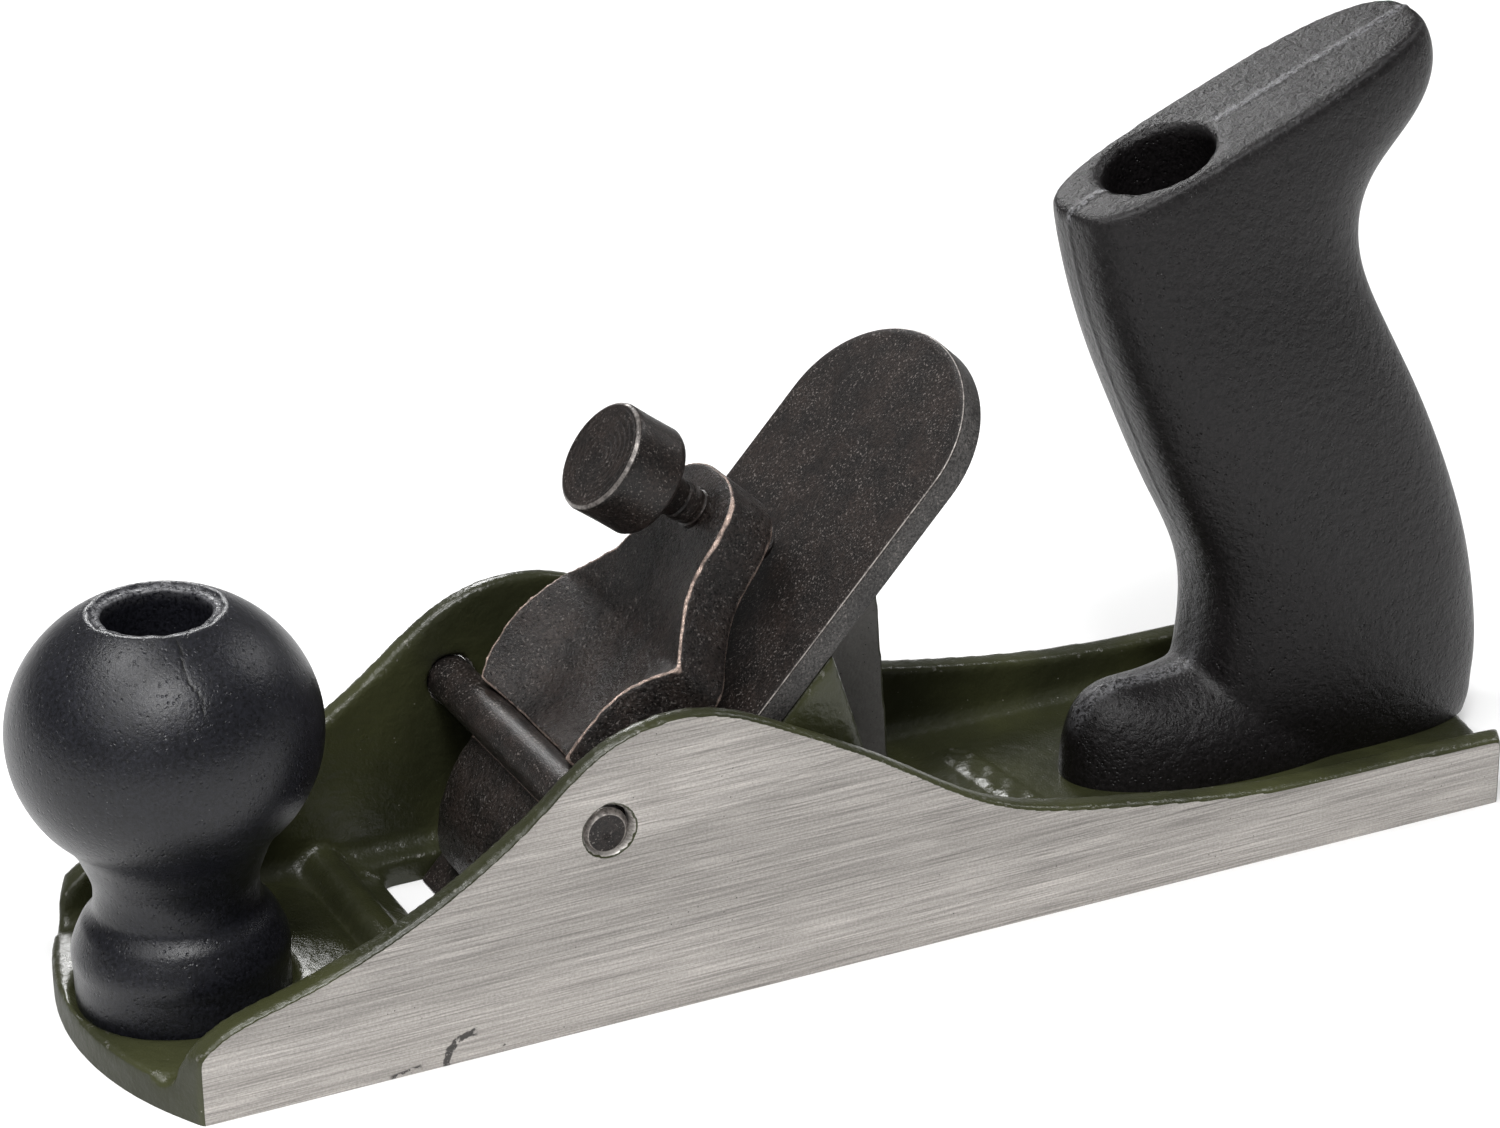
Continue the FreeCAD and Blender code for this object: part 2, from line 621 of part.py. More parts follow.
def rear_handle():
    """Pistol handle: grip with a horn, a foot ahead of it and a sloping flat top."""
    x = HANDLE_X
    wide = HANDLE_HALF_WIDTH
    top = HANDLE_TOP_HALF_WIDTH
    # front, back, half width, height: the grip's outline from the floor to the horn
    stations = [
        (19.7, 69.6, wide - 1.6, FLOOR),
        (20.6, 71.6, wide - 0.3, FLOOR + 6),
        (22.2, 71.2, wide, FLOOR + 18),
        (22.0, 68.7, wide, FLOOR + 30),
        (16.2, 64.2, wide, FLOOR + 43),
        (9.6, 57.7, wide, FLOOR + 57),
        (4.1, 50.6, wide - 0.4, FLOOR + 70),
        (0.5, 46.3, top, FLOOR + 81),
        (-1.8, 48.3, top, FLOOR + 92),
        (-2.3, 55.2, top, FLOOR + 100),
        (-2.3, 58.2, top, FLOOR + 108),
        (-2.3, 56.0, top - 1.2, FLOOR + 114.5),
        (-2.3, 51.6, top - 3.2, FLOOR + 118),
    ]
    wires = [handle_section(x + f, x + b, w, z) for f, b, w, z in stations]
    grip = Part.makeLoft(wires, True, False)
    slope = V(math.cos(LEAN), 0, math.sin(LEAN))
    mark = V(x, 0, HANDLE_TOP_HEIGHT)
    cutter = prism([mark - slope * 60, mark + slope * 120, mark + slope * 120 + handle_axis() * 90,
                    mark - slope * 60 + handle_axis() * 90], BODY_WIDTH)
    grip = grip.cut(cutter)
    ball = Part.makeSphere(1.0)
    stretch = FreeCAD.Matrix()
    stretch.scale(HANDLE_FOOT_REACH, wide, HANDLE_FOOT_HEIGHT)
    foot = ball.transformGeometry(stretch)
    foot.translate(V(x + HANDLE_FOOT_REACH, 0, FLOOR))
    below = Part.makeBox(80, 60, 40, V(x - 10, -30, FLOOR - 40))
    foot = foot.cut(below)
    body = grip.fuse(foot)
    bolt_foot = handle_bolt_foot()
    axis = handle_axis()
    centre = handle_top_centre()
    hole = Part.makeCylinder(HANDLE_HOLE_STEP_RADIUS, HANDLE_HOLE_DEPTH + 20,
                             centre - axis * HANDLE_HOLE_DEPTH, axis)
    mouth = Part.makeCylinder(HANDLE_HOLE_RADIUS, HANDLE_HOLE_STEP_DEPTH + 20,
                              centre - axis * HANDLE_HOLE_STEP_DEPTH, axis)
    through = Part.makeCylinder(BOLT_RADIUS + BOLT_HOLE_CLEARANCE, 160, bolt_foot - axis * 20, axis)
    return body.cut([hole, mouth, through, recess(bolt_foot, axis)])


# --- hold-down screws ----------------------------------------------------------
def washer(seat, axis):
    """Flat washer on the bottom of a hole."""
    ring = Part.makeCylinder(WASHER_RADIUS, WASHER_THICK, seat, axis)
    hole = Part.makeCylinder(BOLT_RADIUS + BOLT_HOLE_CLEARANCE, WASHER_THICK + 2, seat - axis, axis)
    return ring.cut(hole)


def bolt(seat, tip, axis):
    """Slotted cheese-head screw from its seat down to its tip."""
    under = seat + axis * WASHER_THICK
    shank = Part.makeCylinder(BOLT_RADIUS, (under - tip).Length, tip, axis)
    head = Part.makeCylinder(BOLT_HEAD_RADIUS, BOLT_HEAD_HEIGHT, under, axis)
    slot = Part.makeBox(4 * BOLT_HEAD_RADIUS, BOLT_SLOT_WIDTH, BOLT_HEAD_HEIGHT,
                        V(-2 * BOLT_HEAD_RADIUS, -BOLT_SLOT_WIDTH / 2, 0))
    slot.Placement = FreeCAD.Placement(under + axis * (BOLT_HEAD_HEIGHT - BOLT_SLOT_DEPTH),
                                       FreeCAD.Rotation(UP, axis))
    return head.cut(slot).fuse(shank)


def main():
    """Build every node and write its file."""
    os.makedirs("parts", exist_ok=True)
    knob_foot = V(KNOB_X, 0, KNOB_SEAT)
    knob_seat = V(KNOB_X, 0, KNOB_HOLE_FLOOR)
    knob_tip = knob_foot - UP * (KNOB_SEAT - SOLE_SKIN - TIP_GAP)
    axis = handle_axis()
    bolt_foot = handle_bolt_foot()
    handle_seat = handle_top_centre() - axis * HANDLE_HOLE_DEPTH
    handle_tip = bolt_foot - axis * (handle_thread_depth() - TIP_GAP)
    nodes = {
        "body_casting": body_casting(),
        "cross_rod": cross_rod(),
        "plane_iron": plane_iron(),
        "lever_cap": lever_cap(),
        "screw_stud": screw_stud(),
        "screw_head": screw_head(),
        "front_knob": front_knob(),
        "knob_washer": washer(knob_seat, UP),
        "knob_bolt": bolt(knob_seat, knob_tip, UP),
        "rear_handle": rear_handle(),
        "handle_washer": washer(handle_seat, axis),
        "handle_bolt": bolt(handle_seat, handle_tip, axis),
    }
    for name, shape in nodes.items():
        export(shape, name)
        print(name, len(shape.Solids), shape.isValid(), round(shape.Volume, 1))


main()
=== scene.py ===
import logging
import math
from dataclasses import dataclass, field
from enum import Enum
from typing import Callable

import bmesh
import bpy
import numpy as np
from mathutils import Matrix, Vector
from mathutils.kdtree import KDTree


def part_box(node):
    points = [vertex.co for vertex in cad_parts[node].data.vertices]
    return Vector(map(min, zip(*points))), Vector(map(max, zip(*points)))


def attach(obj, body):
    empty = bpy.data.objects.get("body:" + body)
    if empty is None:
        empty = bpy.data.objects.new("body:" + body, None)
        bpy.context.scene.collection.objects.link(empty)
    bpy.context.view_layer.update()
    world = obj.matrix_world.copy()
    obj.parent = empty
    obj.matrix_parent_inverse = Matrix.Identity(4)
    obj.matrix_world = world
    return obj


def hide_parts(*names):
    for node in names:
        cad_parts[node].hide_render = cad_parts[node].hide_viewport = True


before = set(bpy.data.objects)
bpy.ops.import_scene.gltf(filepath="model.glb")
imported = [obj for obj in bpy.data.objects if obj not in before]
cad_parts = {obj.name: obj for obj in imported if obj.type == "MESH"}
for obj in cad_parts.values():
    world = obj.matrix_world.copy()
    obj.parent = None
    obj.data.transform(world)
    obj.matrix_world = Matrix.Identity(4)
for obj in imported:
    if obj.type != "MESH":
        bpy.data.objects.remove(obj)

logging.basicConfig(level=logging.INFO, format="%(message)s")
log = logging.getLogger("plane")

MM = 0.001
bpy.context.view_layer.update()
Colour = tuple[float, float, float]
Point = tuple[float, float, float]


class Slot(Enum):
    """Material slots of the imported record."""
    CASTING = "painted_casting"
    DARK_STEEL = "dark_steel"
    BRIGHT_STEEL = "bright_steel"
    DARK_CASTING = "dark_casting"
    PLASTIC = "black_plastic"


class Rider(Enum):
    """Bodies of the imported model."""
    BODY = "body"
    IRON = "iron"
    CAP = "cap"
    STUD = "stud"
    HEAD = "head"


# --- where things are, in millimetres ----------------------------------------
@dataclass(frozen=True)
class Bed:
    """The slope the iron lies on: the iron's face meets the sole at face_x."""
    face_x: float = -52.8
    angle: float = math.radians(47.2)

    @property
    def up(self) -> np.ndarray:
        """Direction up the slope."""
        return np.array([math.cos(self.angle), 0.0, math.sin(self.angle)])

    @property
    def out(self) -> np.ndarray:
        """Direction out of the iron's face."""
        return np.array([-math.sin(self.angle), 0.0, math.cos(self.angle)])

    def point(self, along: float, above: float, across: float = 0.0) -> np.ndarray:
        """Point given up the slope, above the iron's face and across the plane.

        Args:
            along: distance up the slope from the sole.
            above: height over the iron's face.
            across: distance across the plane.

        Returns:
            The point as x, y, z.
        """
        foot = np.array([self.face_x, across, 0.0])
        return foot + self.up * along + self.out * above

    def places(self, points: np.ndarray) -> tuple[np.ndarray, np.ndarray]:
        """How far up the slope and above the iron's face the points are.

        Args:
            points: points as rows, in millimetres.

        Returns:
            Two arrays: along and above.
        """
        offset = points - np.array([self.face_x, 0.0, 0.0])
        return offset @ self.up, offset @ self.out


BED = Bed()


# --- node wrappers --------------------------------------------------------------
class Wire:
    """A shader socket that Python's operators work on."""

    def __init__(self, canvas: "Canvas", socket: bpy.types.NodeSocket) -> None:
        """Keep the socket and the canvas it belongs to."""
        self.canvas = canvas
        self.socket = socket

    def maths(self, kind: str, first: "Wire | float", second: "Wire | float" = 0.0) -> "Wire":
        """One Math node.

        Args:
            kind: the node's operation.
            first: first value.
            second: second value.

        Returns:
            The node's result.
        """
        return self.canvas.node("ShaderNodeMath", {"operation": kind}, {0: first, 1: second})

    def __add__(self, other: "Wire | float") -> "Wire":
        """Sum."""
        return self.maths("ADD", self, other)

    __radd__ = __add__

    def __sub__(self, other: "Wire | float") -> "Wire":
        """Difference."""
        return self.maths("SUBTRACT", self, other)

    def __rsub__(self, other: "Wire | float") -> "Wire":
        """Difference, the other way round."""
        return self.maths("SUBTRACT", other, self)

    def __mul__(self, other: "Wire | float") -> "Wire":
        """Product."""
        return self.maths("MULTIPLY", self, other)

    __rmul__ = __mul__

    def __truediv__(self, other: "Wire | float") -> "Wire":
        """Quotient."""
        return self.maths("DIVIDE", self, other)

    def __rtruediv__(self, other: "Wire | float") -> "Wire":
        """Quotient, the other way round."""
        return self.maths("DIVIDE", other, self)

    def __pow__(self, other: "Wire | float") -> "Wire":
        """Power."""
        return self.maths("POWER", self, other)

    def __abs__(self) -> "Wire":
        """Size without its sign."""
        return self.maths("ABSOLUTE", self)

    def __or__(self, other: "Wire | float") -> "Wire":
        """The larger of two masks."""
        return self.maths("MAXIMUM", self, other)

    def __and__(self, other: "Wire | float") -> "Wire":
        """The smaller of two masks."""
        return self.maths("MINIMUM", self, other)

    def rise(self, low: float, high: float) -> "Wire":
        """Smooth step from 0 at low to 1 at high; low may be the larger.

        Args:
            low: value that gives 0.
            high: value that gives 1.

        Returns:
            The mask.
        """
        return self.canvas.node("ShaderNodeMapRange", {"interpolation_type": "SMOOTHSTEP"},
                                {"Value": self, "From Min": low, "From Max": high})


class Canvas:
    """A material being put together from nodes, with lengths in millimetres."""

    def __init__(self, name: str) -> None:
        """Start an empty material.

        Args:
            name: the material's name.
        """
        self.material = bpy.data.materials.new(name)
        self.material.use_nodes = True
        self.tree = self.material.node_tree
        self.tree.nodes.clear()
        self.sheet = self.tree.nodes.new("ShaderNodeOutputMaterial")
        texture = self.node("ShaderNodeTexCoord", output=3)
        self.place = self.node("ShaderNodeVectorMath", {"operation": "SCALE"},
                               {0: texture, "Scale": 1 / MM})
        self.x = self.part(self.place, 0)
        self.y = self.part(self.place, 1)
        self.z = self.part(self.place, 2)

    def node(self, kind: str, settings: dict | None = None, inputs: dict | None = None,
             output: int | str = 0) -> Wire:
        """Any node.

        Args:
            kind: the node's type.
            settings: its properties.
            inputs: values or wires by socket name or index.
            output: which output to hand back.

        Returns:
            The chosen output.
        """
        made = self.tree.nodes.new(kind)
        for key, value in (settings or {}).items():
            setattr(made, key, value)
        for key, value in (inputs or {}).items():
            if isinstance(value, Wire):
                self.tree.links.new(value.socket, made.inputs[key])
            elif isinstance(value, tuple) and made.inputs[key].type == "RGBA":
                made.inputs[key].default_value = (*value, 1.0)
            else:
                made.inputs[key].default_value = value
        return Wire(self, made.outputs[output])

    def part(self, vector: Wire, axis: int) -> Wire:
        """One component of a vector."""
        return self.node("ShaderNodeSeparateXYZ", inputs={0: vector}, output=axis)

    def normal(self, axis: int) -> Wire:
        """One component of the surface's own direction."""
        return self.part(self.node("ShaderNodeTexCoord", output=1), axis)

    def stretched(self, scale: Colour, turn: Colour = (0.0, 0.0, 0.0)) -> Wire:
        """Place turned by angles in radians, then scaled along each axis.

        Args:
            scale: factor along each axis.
            turn: rotation about each axis.

        Returns:
            The changed place.
        """
        turned = self.node("ShaderNodeMapping", inputs={"Vector": self.place, "Rotation": turn})
        return self.node("ShaderNodeVectorMath", {"operation": "MULTIPLY"}, {0: turned, 1: scale})

    def noise(self, scale: float, detail: float = 3.0, rough: float = 0.5,
              place: Wire | None = None) -> Wire:
        """Noise from 0 to 1, its grain 1/scale millimetres across."""
        return self.node("ShaderNodeTexNoise", inputs={
            "Vector": place or self.place, "Scale": scale, "Detail": detail, "Roughness": rough})

    def cells(self, scale: float) -> Wire:
        """Distance to the nearest of scattered points, 1/scale millimetres apart."""
        return self.node("ShaderNodeTexVoronoi", inputs={"Vector": self.place, "Scale": scale})

    def attribute(self, name: str) -> Wire:
        """A value stored on the mesh."""
        return self.node("ShaderNodeAttribute", {"attribute_name": name}, output=2)

    def blend(self, mask: "Wire | float", first: "Wire | Colour", second: "Wire | Colour") -> Wire:
        """Colour going from first to second as mask goes from 0 to 1."""
        return self.node("ShaderNodeMix", {"data_type": "RGBA", "clamp_factor": True},
                         {0: mask, 6: first, 7: second}, output=2)

    def tinted(self, colour: "Wire | Colour", strength: Wire) -> Wire:
        """Colour made darker or lighter by a value near 1.

        Args:
            colour: the colour.
            strength: factor.

        Returns:
            The new colour.
        """
        grey = self.node("ShaderNodeCombineXYZ", inputs={0: strength, 1: strength, 2: strength})
        return self.node("ShaderNodeMix", {"data_type": "RGBA", "blend_type": "MULTIPLY"},
                         {0: 1.0, 6: colour, 7: grey}, output=2)

    def bumps(self, *layers: tuple[Wire, float]) -> Wire:
        """Bump from layers, each a height from 0 to 1 and its depth in millimetres.

        Args:
            layers: pairs of height and depth.

        Returns:
            The bent normal.
        """
        total: Wire | float = 0.0
        for height, depth in layers:
            total = height * depth + total
        return self.node("ShaderNodeBump", inputs={
            "Strength": 1.0, "Distance": MM, "Height": total})

    def finish(self, constants: dict | None = None, **varying: "Wire | float | Colour") -> bpy.types.Material:
        """Close the material with one Principled shader.

        Args:
            constants: plain values by socket name.
            varying: values or wires, by socket name with underscores for spaces.

        Returns:
            The material.
        """
        inputs = dict(constants or {})
        for key, value in varying.items():
            inputs[key.replace("_", " ")] = value
        shader = self.node("ShaderNodeBsdfPrincipled", inputs=inputs)
        self.tree.links.new(shader.socket, self.sheet.inputs["Surface"])
        return self.material


# --- finishes ----------------------------------------------------------------------
@dataclass(frozen=True)
class OlivePaint:
    """Thick glossy paint over the rough casting, thin and greyer on the ends."""
    name: str = "olive_paint"
    deep: Colour = (0.022, 0.0238, 0.0108)
    light: Colour = (0.044, 0.047, 0.0190)
    thin: Colour = (0.036, 0.038, 0.024)
    bare: Colour = (0.16, 0.155, 0.147)
    chip: Colour = (0.30, 0.29, 0.27)
    lean: Colour = (0.030, 0.032, 0.017)
    pit: Colour = (0.012, 0.012, 0.011)
    dust: Colour = (0.34, 0.33, 0.29)
    ends_x: tuple[float, float] = (100.0, 103.0)
    ends_z: tuple[float, float] = (13.0, 11.0)
    web_x: tuple[float, float] = (-30.0, -27.0)
    web_y: tuple[float, float] = (3.2, 2.9)
    web_z: tuple[float, float] = (6.0, 9.0)

    def build(self) -> bpy.types.Material:
        """Make the material.

        Returns:
            The material.
        """
        c = Canvas(self.name)
        wash = c.noise(0.045, 3.0).rise(0.35, 0.7)
        colour = c.blend(wash, self.deep, self.light)
        ends = abs(c.normal(0)).rise(0.75, 0.92) \
            & abs(c.x).rise(*self.ends_x) & c.z.rise(*self.ends_z)
        patch = c.noise(0.5, 4.0, 0.6)
        thin = c.blend(patch.rise(0.3, 0.7), self.thin, self.lean)
        colour = c.blend(ends, colour, thin)
        web = (abs(c.normal(1)).rise(0.8, 0.95) & abs(c.y).rise(*self.web_y)) \
            & (c.x.rise(*self.web_x) & c.z.rise(*self.web_z))
        pits = c.cells(1.3).rise(0.16, 0.06) & c.noise(0.6, 2.0).rise(0.5, 0.6)
        grit = c.noise(3.0, 4.0, 0.65)
        bare = c.tinted(c.blend(pits, self.bare, self.pit), grit * 0.6 + 0.7)
        colour = c.blend(web, colour, bare)
        wear = c.attribute("wear").rise(0.75, 1.0) & c.noise(0.7, 4.0, 0.6).rise(0.60, 0.70)
        colour = c.blend(wear * 0.4, colour, self.chip)
        dust = c.cells(0.55).rise(0.075, 0.03) & c.noise(0.13, 2.0).rise(0.46, 0.60)
        colour = c.blend(dust * 0.55, colour, self.dust)
        rough = c.noise(0.3, 3.0) * 0.18 + 0.22 + ends * 0.28 + web * 0.34 + wear * 0.2
        peel = c.noise(0.42, 3.0, 0.55)
        sand = c.noise(1.7, 3.0, 0.6)
        bump = c.bumps((peel, 0.26), (sand, 0.07), (ends * c.noise(1.2, 4.0), 0.12),
                       (web * pits * -1.0, 0.25), (wear * -1.0, 0.05))
        return c.finish({"IOR": 1.5, "Coat Roughness": 0.12,
                         "Specular IOR Level": 0.36}, Base_Color=colour, Roughness=rough,
                        Coat_Weight=(1.0 - (ends | web)) * 0.09, Metallic=web * 0.5 + wear * 0.4,
                        Normal=bump)


@dataclass(frozen=True)
class GroundSteel:
    """Casting ground flat: lengthwise scratches, stains and a few pits low down.

    Each row of dents holds x, z and half length in millimetres, and slope in degrees.
    """
    name: str = "ground_iron"
    base: Colour = (0.370, 0.348, 0.325)
    pale: Colour = (0.450, 0.424, 0.398)
    dark: Colour = (0.18, 0.168, 0.155)
    pitted: Colour = (0.045, 0.042, 0.040)
    black: Colour = (0.030, 0.028, 0.027)
    slope: Colour = (0.0, math.radians(0.6), 0.0)
    cross_slope: Colour = (0.0, math.radians(-1.2), 0.0)
    dents: tuple[tuple[float, ...], ...] = ((-75.4, 0.8, 2.6, 8.0), (-61.3, 0.5, 0.9, 60.0))
    hook_x: float = -65.3
    hook_radius: float = 4.2
    hook_width: float = 0.62

    def build(self) -> bpy.types.Material:
        """Make the material.

        Returns:
            The material.
        """
        c = Canvas(self.name)
        fine = c.noise(1.0, 4.0, 0.68, c.stretched((0.055, 1.0, 4.0), self.slope))
        broad = c.noise(1.0, 3.0, 0.55, c.stretched((0.018, 0.3, 0.7), self.slope))
        second = c.noise(1.0, 2.0, 0.6, c.stretched((0.07, 1.0, 5.0), self.cross_slope))
        colour = c.blend(broad.rise(0.34, 0.68), self.base, self.pale)
        grit = c.noise(2.6, 3.0, 0.65)
        colour = c.tinted(colour, fine * 2.1 - 0.08)
        colour = c.tinted(colour, second * 0.6 + 0.70)
        colour = c.tinted(colour, grit * 0.9 + 0.50)
        streak = second.rise(0.40, 0.33) & c.noise(0.05, 2.0).rise(0.40, 0.56)
        colour = c.blend(streak * 0.6, colour, self.dark)
        stain = c.noise(1.0, 4.0, 0.6, c.stretched((0.022, 0.2, 0.10))).rise(0.56, 0.74)
        low = c.z.rise(9.0, 2.0)
        colour = c.blend((stain * 0.30) | (low & broad.rise(0.45, 0.25)) * 0.35, colour, self.dark)
        score = self.hook(c)
        for dent in self.dents:
            score = self.score(c, *dent) | score
        pit = c.cells(0.62).rise(0.085, 0.045) & c.noise(0.10, 2.0).rise(0.52, 0.60)
        speck = c.cells(1.7).rise(0.10, 0.05) & c.noise(0.21, 2.0).rise(0.50, 0.62)
        colour = c.blend(pit * 0.8 | speck * 0.5, colour, self.pitted)
        colour = c.blend(score * 0.9, colour, self.black)
        rough = fine * 0.16 + 0.36 + stain * 0.08
        bump = c.bumps((fine, 0.020), (second, 0.012), (score * -1.0, 0.10), (pit * -1.0, 0.05))
        return c.finish(Base_Color=colour, Roughness=rough, Metallic=0.55, Normal=bump)

    def hook(self, c: Canvas) -> Wire:
        """A curved dent low on the near side, broken here and there.

        Args:
            c: the material's canvas.

        Returns:
            Its mask.
        """
        ragged = (c.noise(0.8, 3.0) - 0.5) * 1.1
        off = ((c.x - self.hook_x) ** 2.0 + c.z ** 2.0) ** 0.5 - self.hook_radius + ragged
        quarter = c.x.rise(self.hook_x + 0.7, self.hook_x - 0.1) & c.y.rise(0.0, -1.0)
        arc = (self.hook_width - abs(off)).rise(0.0, 0.2) & quarter
        return arc & c.noise(1.1, 3.0, 0.6).rise(0.36, 0.48)

    @staticmethod
    def score(c: Canvas, x: float, z: float, reach: float, tilt: float) -> Wire:
        """A ragged dark dent on the near side.

        Args:
            c: the material's canvas.
            x: its middle along the plane.
            z: its middle's height.
            reach: half its length.
            tilt: its slope in degrees.

        Returns:
            Its mask.
        """
        angle = math.radians(tilt)
        ragged = c.noise(0.9, 4.0, 0.7)
        across = (c.z - z) * math.cos(angle) - (c.x - x) * math.sin(angle)
        length = (c.x - x) * math.cos(angle) + (c.z - z) * math.sin(angle)
        width = (ragged - 0.38) * 2.2
        inside = (width - abs(across + (ragged - 0.5) * 2.2)).rise(0.0, 0.35)
        return inside & abs(length).rise(reach, reach * 0.7) & c.y.rise(0.0, -1.0)


@dataclass(frozen=True)
class WornBlack:
    """Blackened steel or casting: brown-black, speckled, bare where it is rubbed."""
    name: str
    base: Colour = (0.0105, 0.0086, 0.0080)
    warm: Colour = (0.022, 0.0162, 0.0140)
    worn: Colour = (0.62, 0.47, 0.40)
    rough: float = 0.42
    sand: float = 0.03
    lumps: float = 0.0
    wear_at: tuple[float, float] = (0.55, 0.9)
    bare: float = 0.8
    flecks: float = 0.5
    pale: Colour = (0.24, 0.215, 0.20)

    def build(self) -> bpy.types.Material:
        """Make the material.

        Returns:
            The material.
        """
        c = Canvas(self.name)
        cloud = c.noise(0.16, 4.0, 0.6).rise(0.36, 0.68)
        colour = c.blend(cloud, self.base, self.warm)
        grain = c.noise(2.4, 4.0, 0.7)
        colour = c.tinted(colour, grain.rise(0.30, 0.72) * 1.5 + 0.25)
        fleck = c.noise(2.9, 2.0, 0.5).rise(0.60, 0.70) & c.noise(0.25, 2.0).rise(0.34, 0.60)
        glint = c.cells(1.5).rise(0.15, 0.05) & c.noise(0.7, 3.0).rise(0.50, 0.60)
        colour = c.blend((glint * 0.6) | (fleck * self.flecks), colour, self.pale)
        ragged = c.noise(0.9, 4.0, 0.7).rise(0.34, 0.62) * 0.75 + 0.25
        rubbed = c.attribute("wear").rise(*self.wear_at) * ragged * self.bare
        colour = c.blend(rubbed, colour, self.worn)
        rough = grain * 0.18 + self.rough - 0.09 - rubbed * 0.06
        bump = c.bumps((grain, self.sand), (c.noise(0.55, 3.0, 0.55), self.lumps),
                       (rubbed * -1.0, 0.02))
        return c.finish({"IOR": 1.5, "Specular IOR Level": 0.32}, Base_Color=colour,
                        Roughness=rough, Metallic=rubbed * 0.75 + 0.08, Normal=bump)


@dataclass(frozen=True)
class BrightSteel:
    """Plain steel of washers and hold-down screws."""
    name: str = "bright_steel"
    base: Colour = (0.50, 0.49, 0.47)
    rusty: Colour = (0.12, 0.06, 0.03)

    def build(self) -> bpy.types.Material:
        """Make the material.

        Returns:
            The material.
        """
        c = Canvas(self.name)
        haze = c.noise(0.8, 4.0, 0.6)
        colour = c.tinted(self.base, haze * 0.5 + 0.72)
        rust = c.noise(0.5, 4.0, 0.7).rise(0.60, 0.72)
        colour = c.blend(rust * 0.6, colour, self.rusty)
        return c.finish(Base_Color=colour, Roughness=haze * 0.2 + 0.25 + rust * 0.2,
                        Metallic=1.0 - rust * 0.7, Normal=c.bumps((haze, 0.01)))


@dataclass(frozen=True)
class GrainedPlastic:
    """Charcoal moulded plastic with a fine grain and scuffed edges."""
    name: str
    base: Colour = (0.0095, 0.0095, 0.0115)
    scuff_and_sheen_colour: Colour = (0.19, 0.19, 0.20)
    nicked: Colour = (0.20, 0.20, 0.20)
    cracked: Colour = (0.003, 0.003, 0.003)
    rough: float = 0.46
    grain: float = 0.05
    wavy: float = 1.4
    shine: float = 0.40
    worn: float = 0.4
    wear_at: tuple[float, float] = (0.60, 0.95)

    def build(self) -> bpy.types.Material:
        """Make the material.

        Returns:
            The material.
        """
        c = Canvas(self.name)
        haze = c.noise(0.06, 3.0, 0.55).rise(0.35, 0.7)
        colour = c.blend(haze, self.base, tuple(v * 1.3 for v in self.base))
        fine = c.noise(1.9, 4.0, 0.7)
        colour = c.tinted(colour, fine.rise(0.30, 0.70) * 1.3 + 0.35)
        rubbed = c.attribute("wear").rise(*self.wear_at) & c.noise(1.1, 4.0, 0.65).rise(0.42, 0.6)
        # pale marks: scuffs, and on the handle's crests partly painted highlight
        mark = c.attribute("scuff_and_sheen") & c.noise(1.6, 4.0, 0.7).rise(0.44, 0.60)
        colour = c.blend((rubbed * self.worn) | mark, colour, self.scuff_and_sheen_colour)
        nick = c.cells(0.5).rise(0.05, 0.025) & c.noise(0.13, 2.0).rise(0.50, 0.6)
        colour = c.blend(nick * 0.7, colour, self.nicked)
        crack = c.attribute("crack")
        colour = c.blend(crack.rise(0.3, 0.8), colour, self.cracked)
        rough = fine * 0.12 + self.rough - 0.06 + haze * 0.05 - mark * 0.08
        pores = c.cells(1.25).rise(0.34, 0.08) & c.noise(0.5, 2.0).rise(0.40, 0.62)
        bump = c.bumps((fine, self.grain), (c.noise(0.7, 2.0), self.grain * self.wavy),
                       (pores * -1.0, self.grain * 0.8), (crack * -1.0, 0.05))
        return c.finish({"IOR": 1.48, "Specular IOR Level": self.shine}, Base_Color=colour,
                        Roughness=rough, Normal=bump)


class Finishes:
    """The shop's materials, one of each."""

    def __init__(self) -> None:
        """Make every material."""
        self.paint = OlivePaint().build()
        self.ground = GroundSteel().build()
        self.iron = WornBlack("iron_black", rough=0.40, sand=0.07, worn=(0.50, 0.46, 0.43),
                              flecks=0.7).build()
        self.iron_side = WornBlack("iron_edge_grey", base=(0.060, 0.057, 0.055),
                                   warm=(0.036, 0.034, 0.033), rough=0.5, sand=0.07).build()
        self.cap = WornBlack("cap_black", rough=0.29, sand=0.20, lumps=0.40,
                             wear_at=(0.50, 0.78)).build()
        self.screw = WornBlack("screw_black", rough=0.36, sand=0.06, worn=(0.34, 0.31, 0.29),
                               bare=0.6).build()
        self.steel = BrightSteel().build()
        self.knob = GrainedPlastic("knob_plastic", rough=0.29, grain=0.07, wavy=0.5,
                                   base=(0.0070, 0.0072, 0.0098)).build()
        self.handle = GrainedPlastic("handle_plastic", rough=0.30, grain=0.16, worn=0.05, shine=0.29,
                                     base=(0.0066, 0.0057, 0.0060)).build()


# --- meshes ----------------------------------------------------------------------
def corners(mesh: bpy.types.Mesh) -> np.ndarray:
    """Vertex places in millimetres, as rows.

    Args:
        mesh: the mesh.

    Returns:
        One row a vertex.
    """
    flat = np.empty(len(mesh.vertices) * 3)
    mesh.vertices.foreach_get("co", flat)
    return flat.reshape(-1, 3) / MM


def place_corners(mesh: bpy.types.Mesh, points: np.ndarray) -> None:
    """Write vertex places given in millimetres."""
    mesh.vertices.foreach_set("co", (points * MM).ravel())
    mesh.update()


def links_of(mesh: bpy.types.Mesh) -> np.ndarray:
    """Edges as pairs of vertex numbers.

    Args:
        mesh: the mesh.

    Returns:
        One row an edge.
    """
    flat = np.empty(len(mesh.edges) * 2, dtype=np.int64)
    mesh.edges.foreach_get("vertices", flat)
    return flat.reshape(-1, 2)


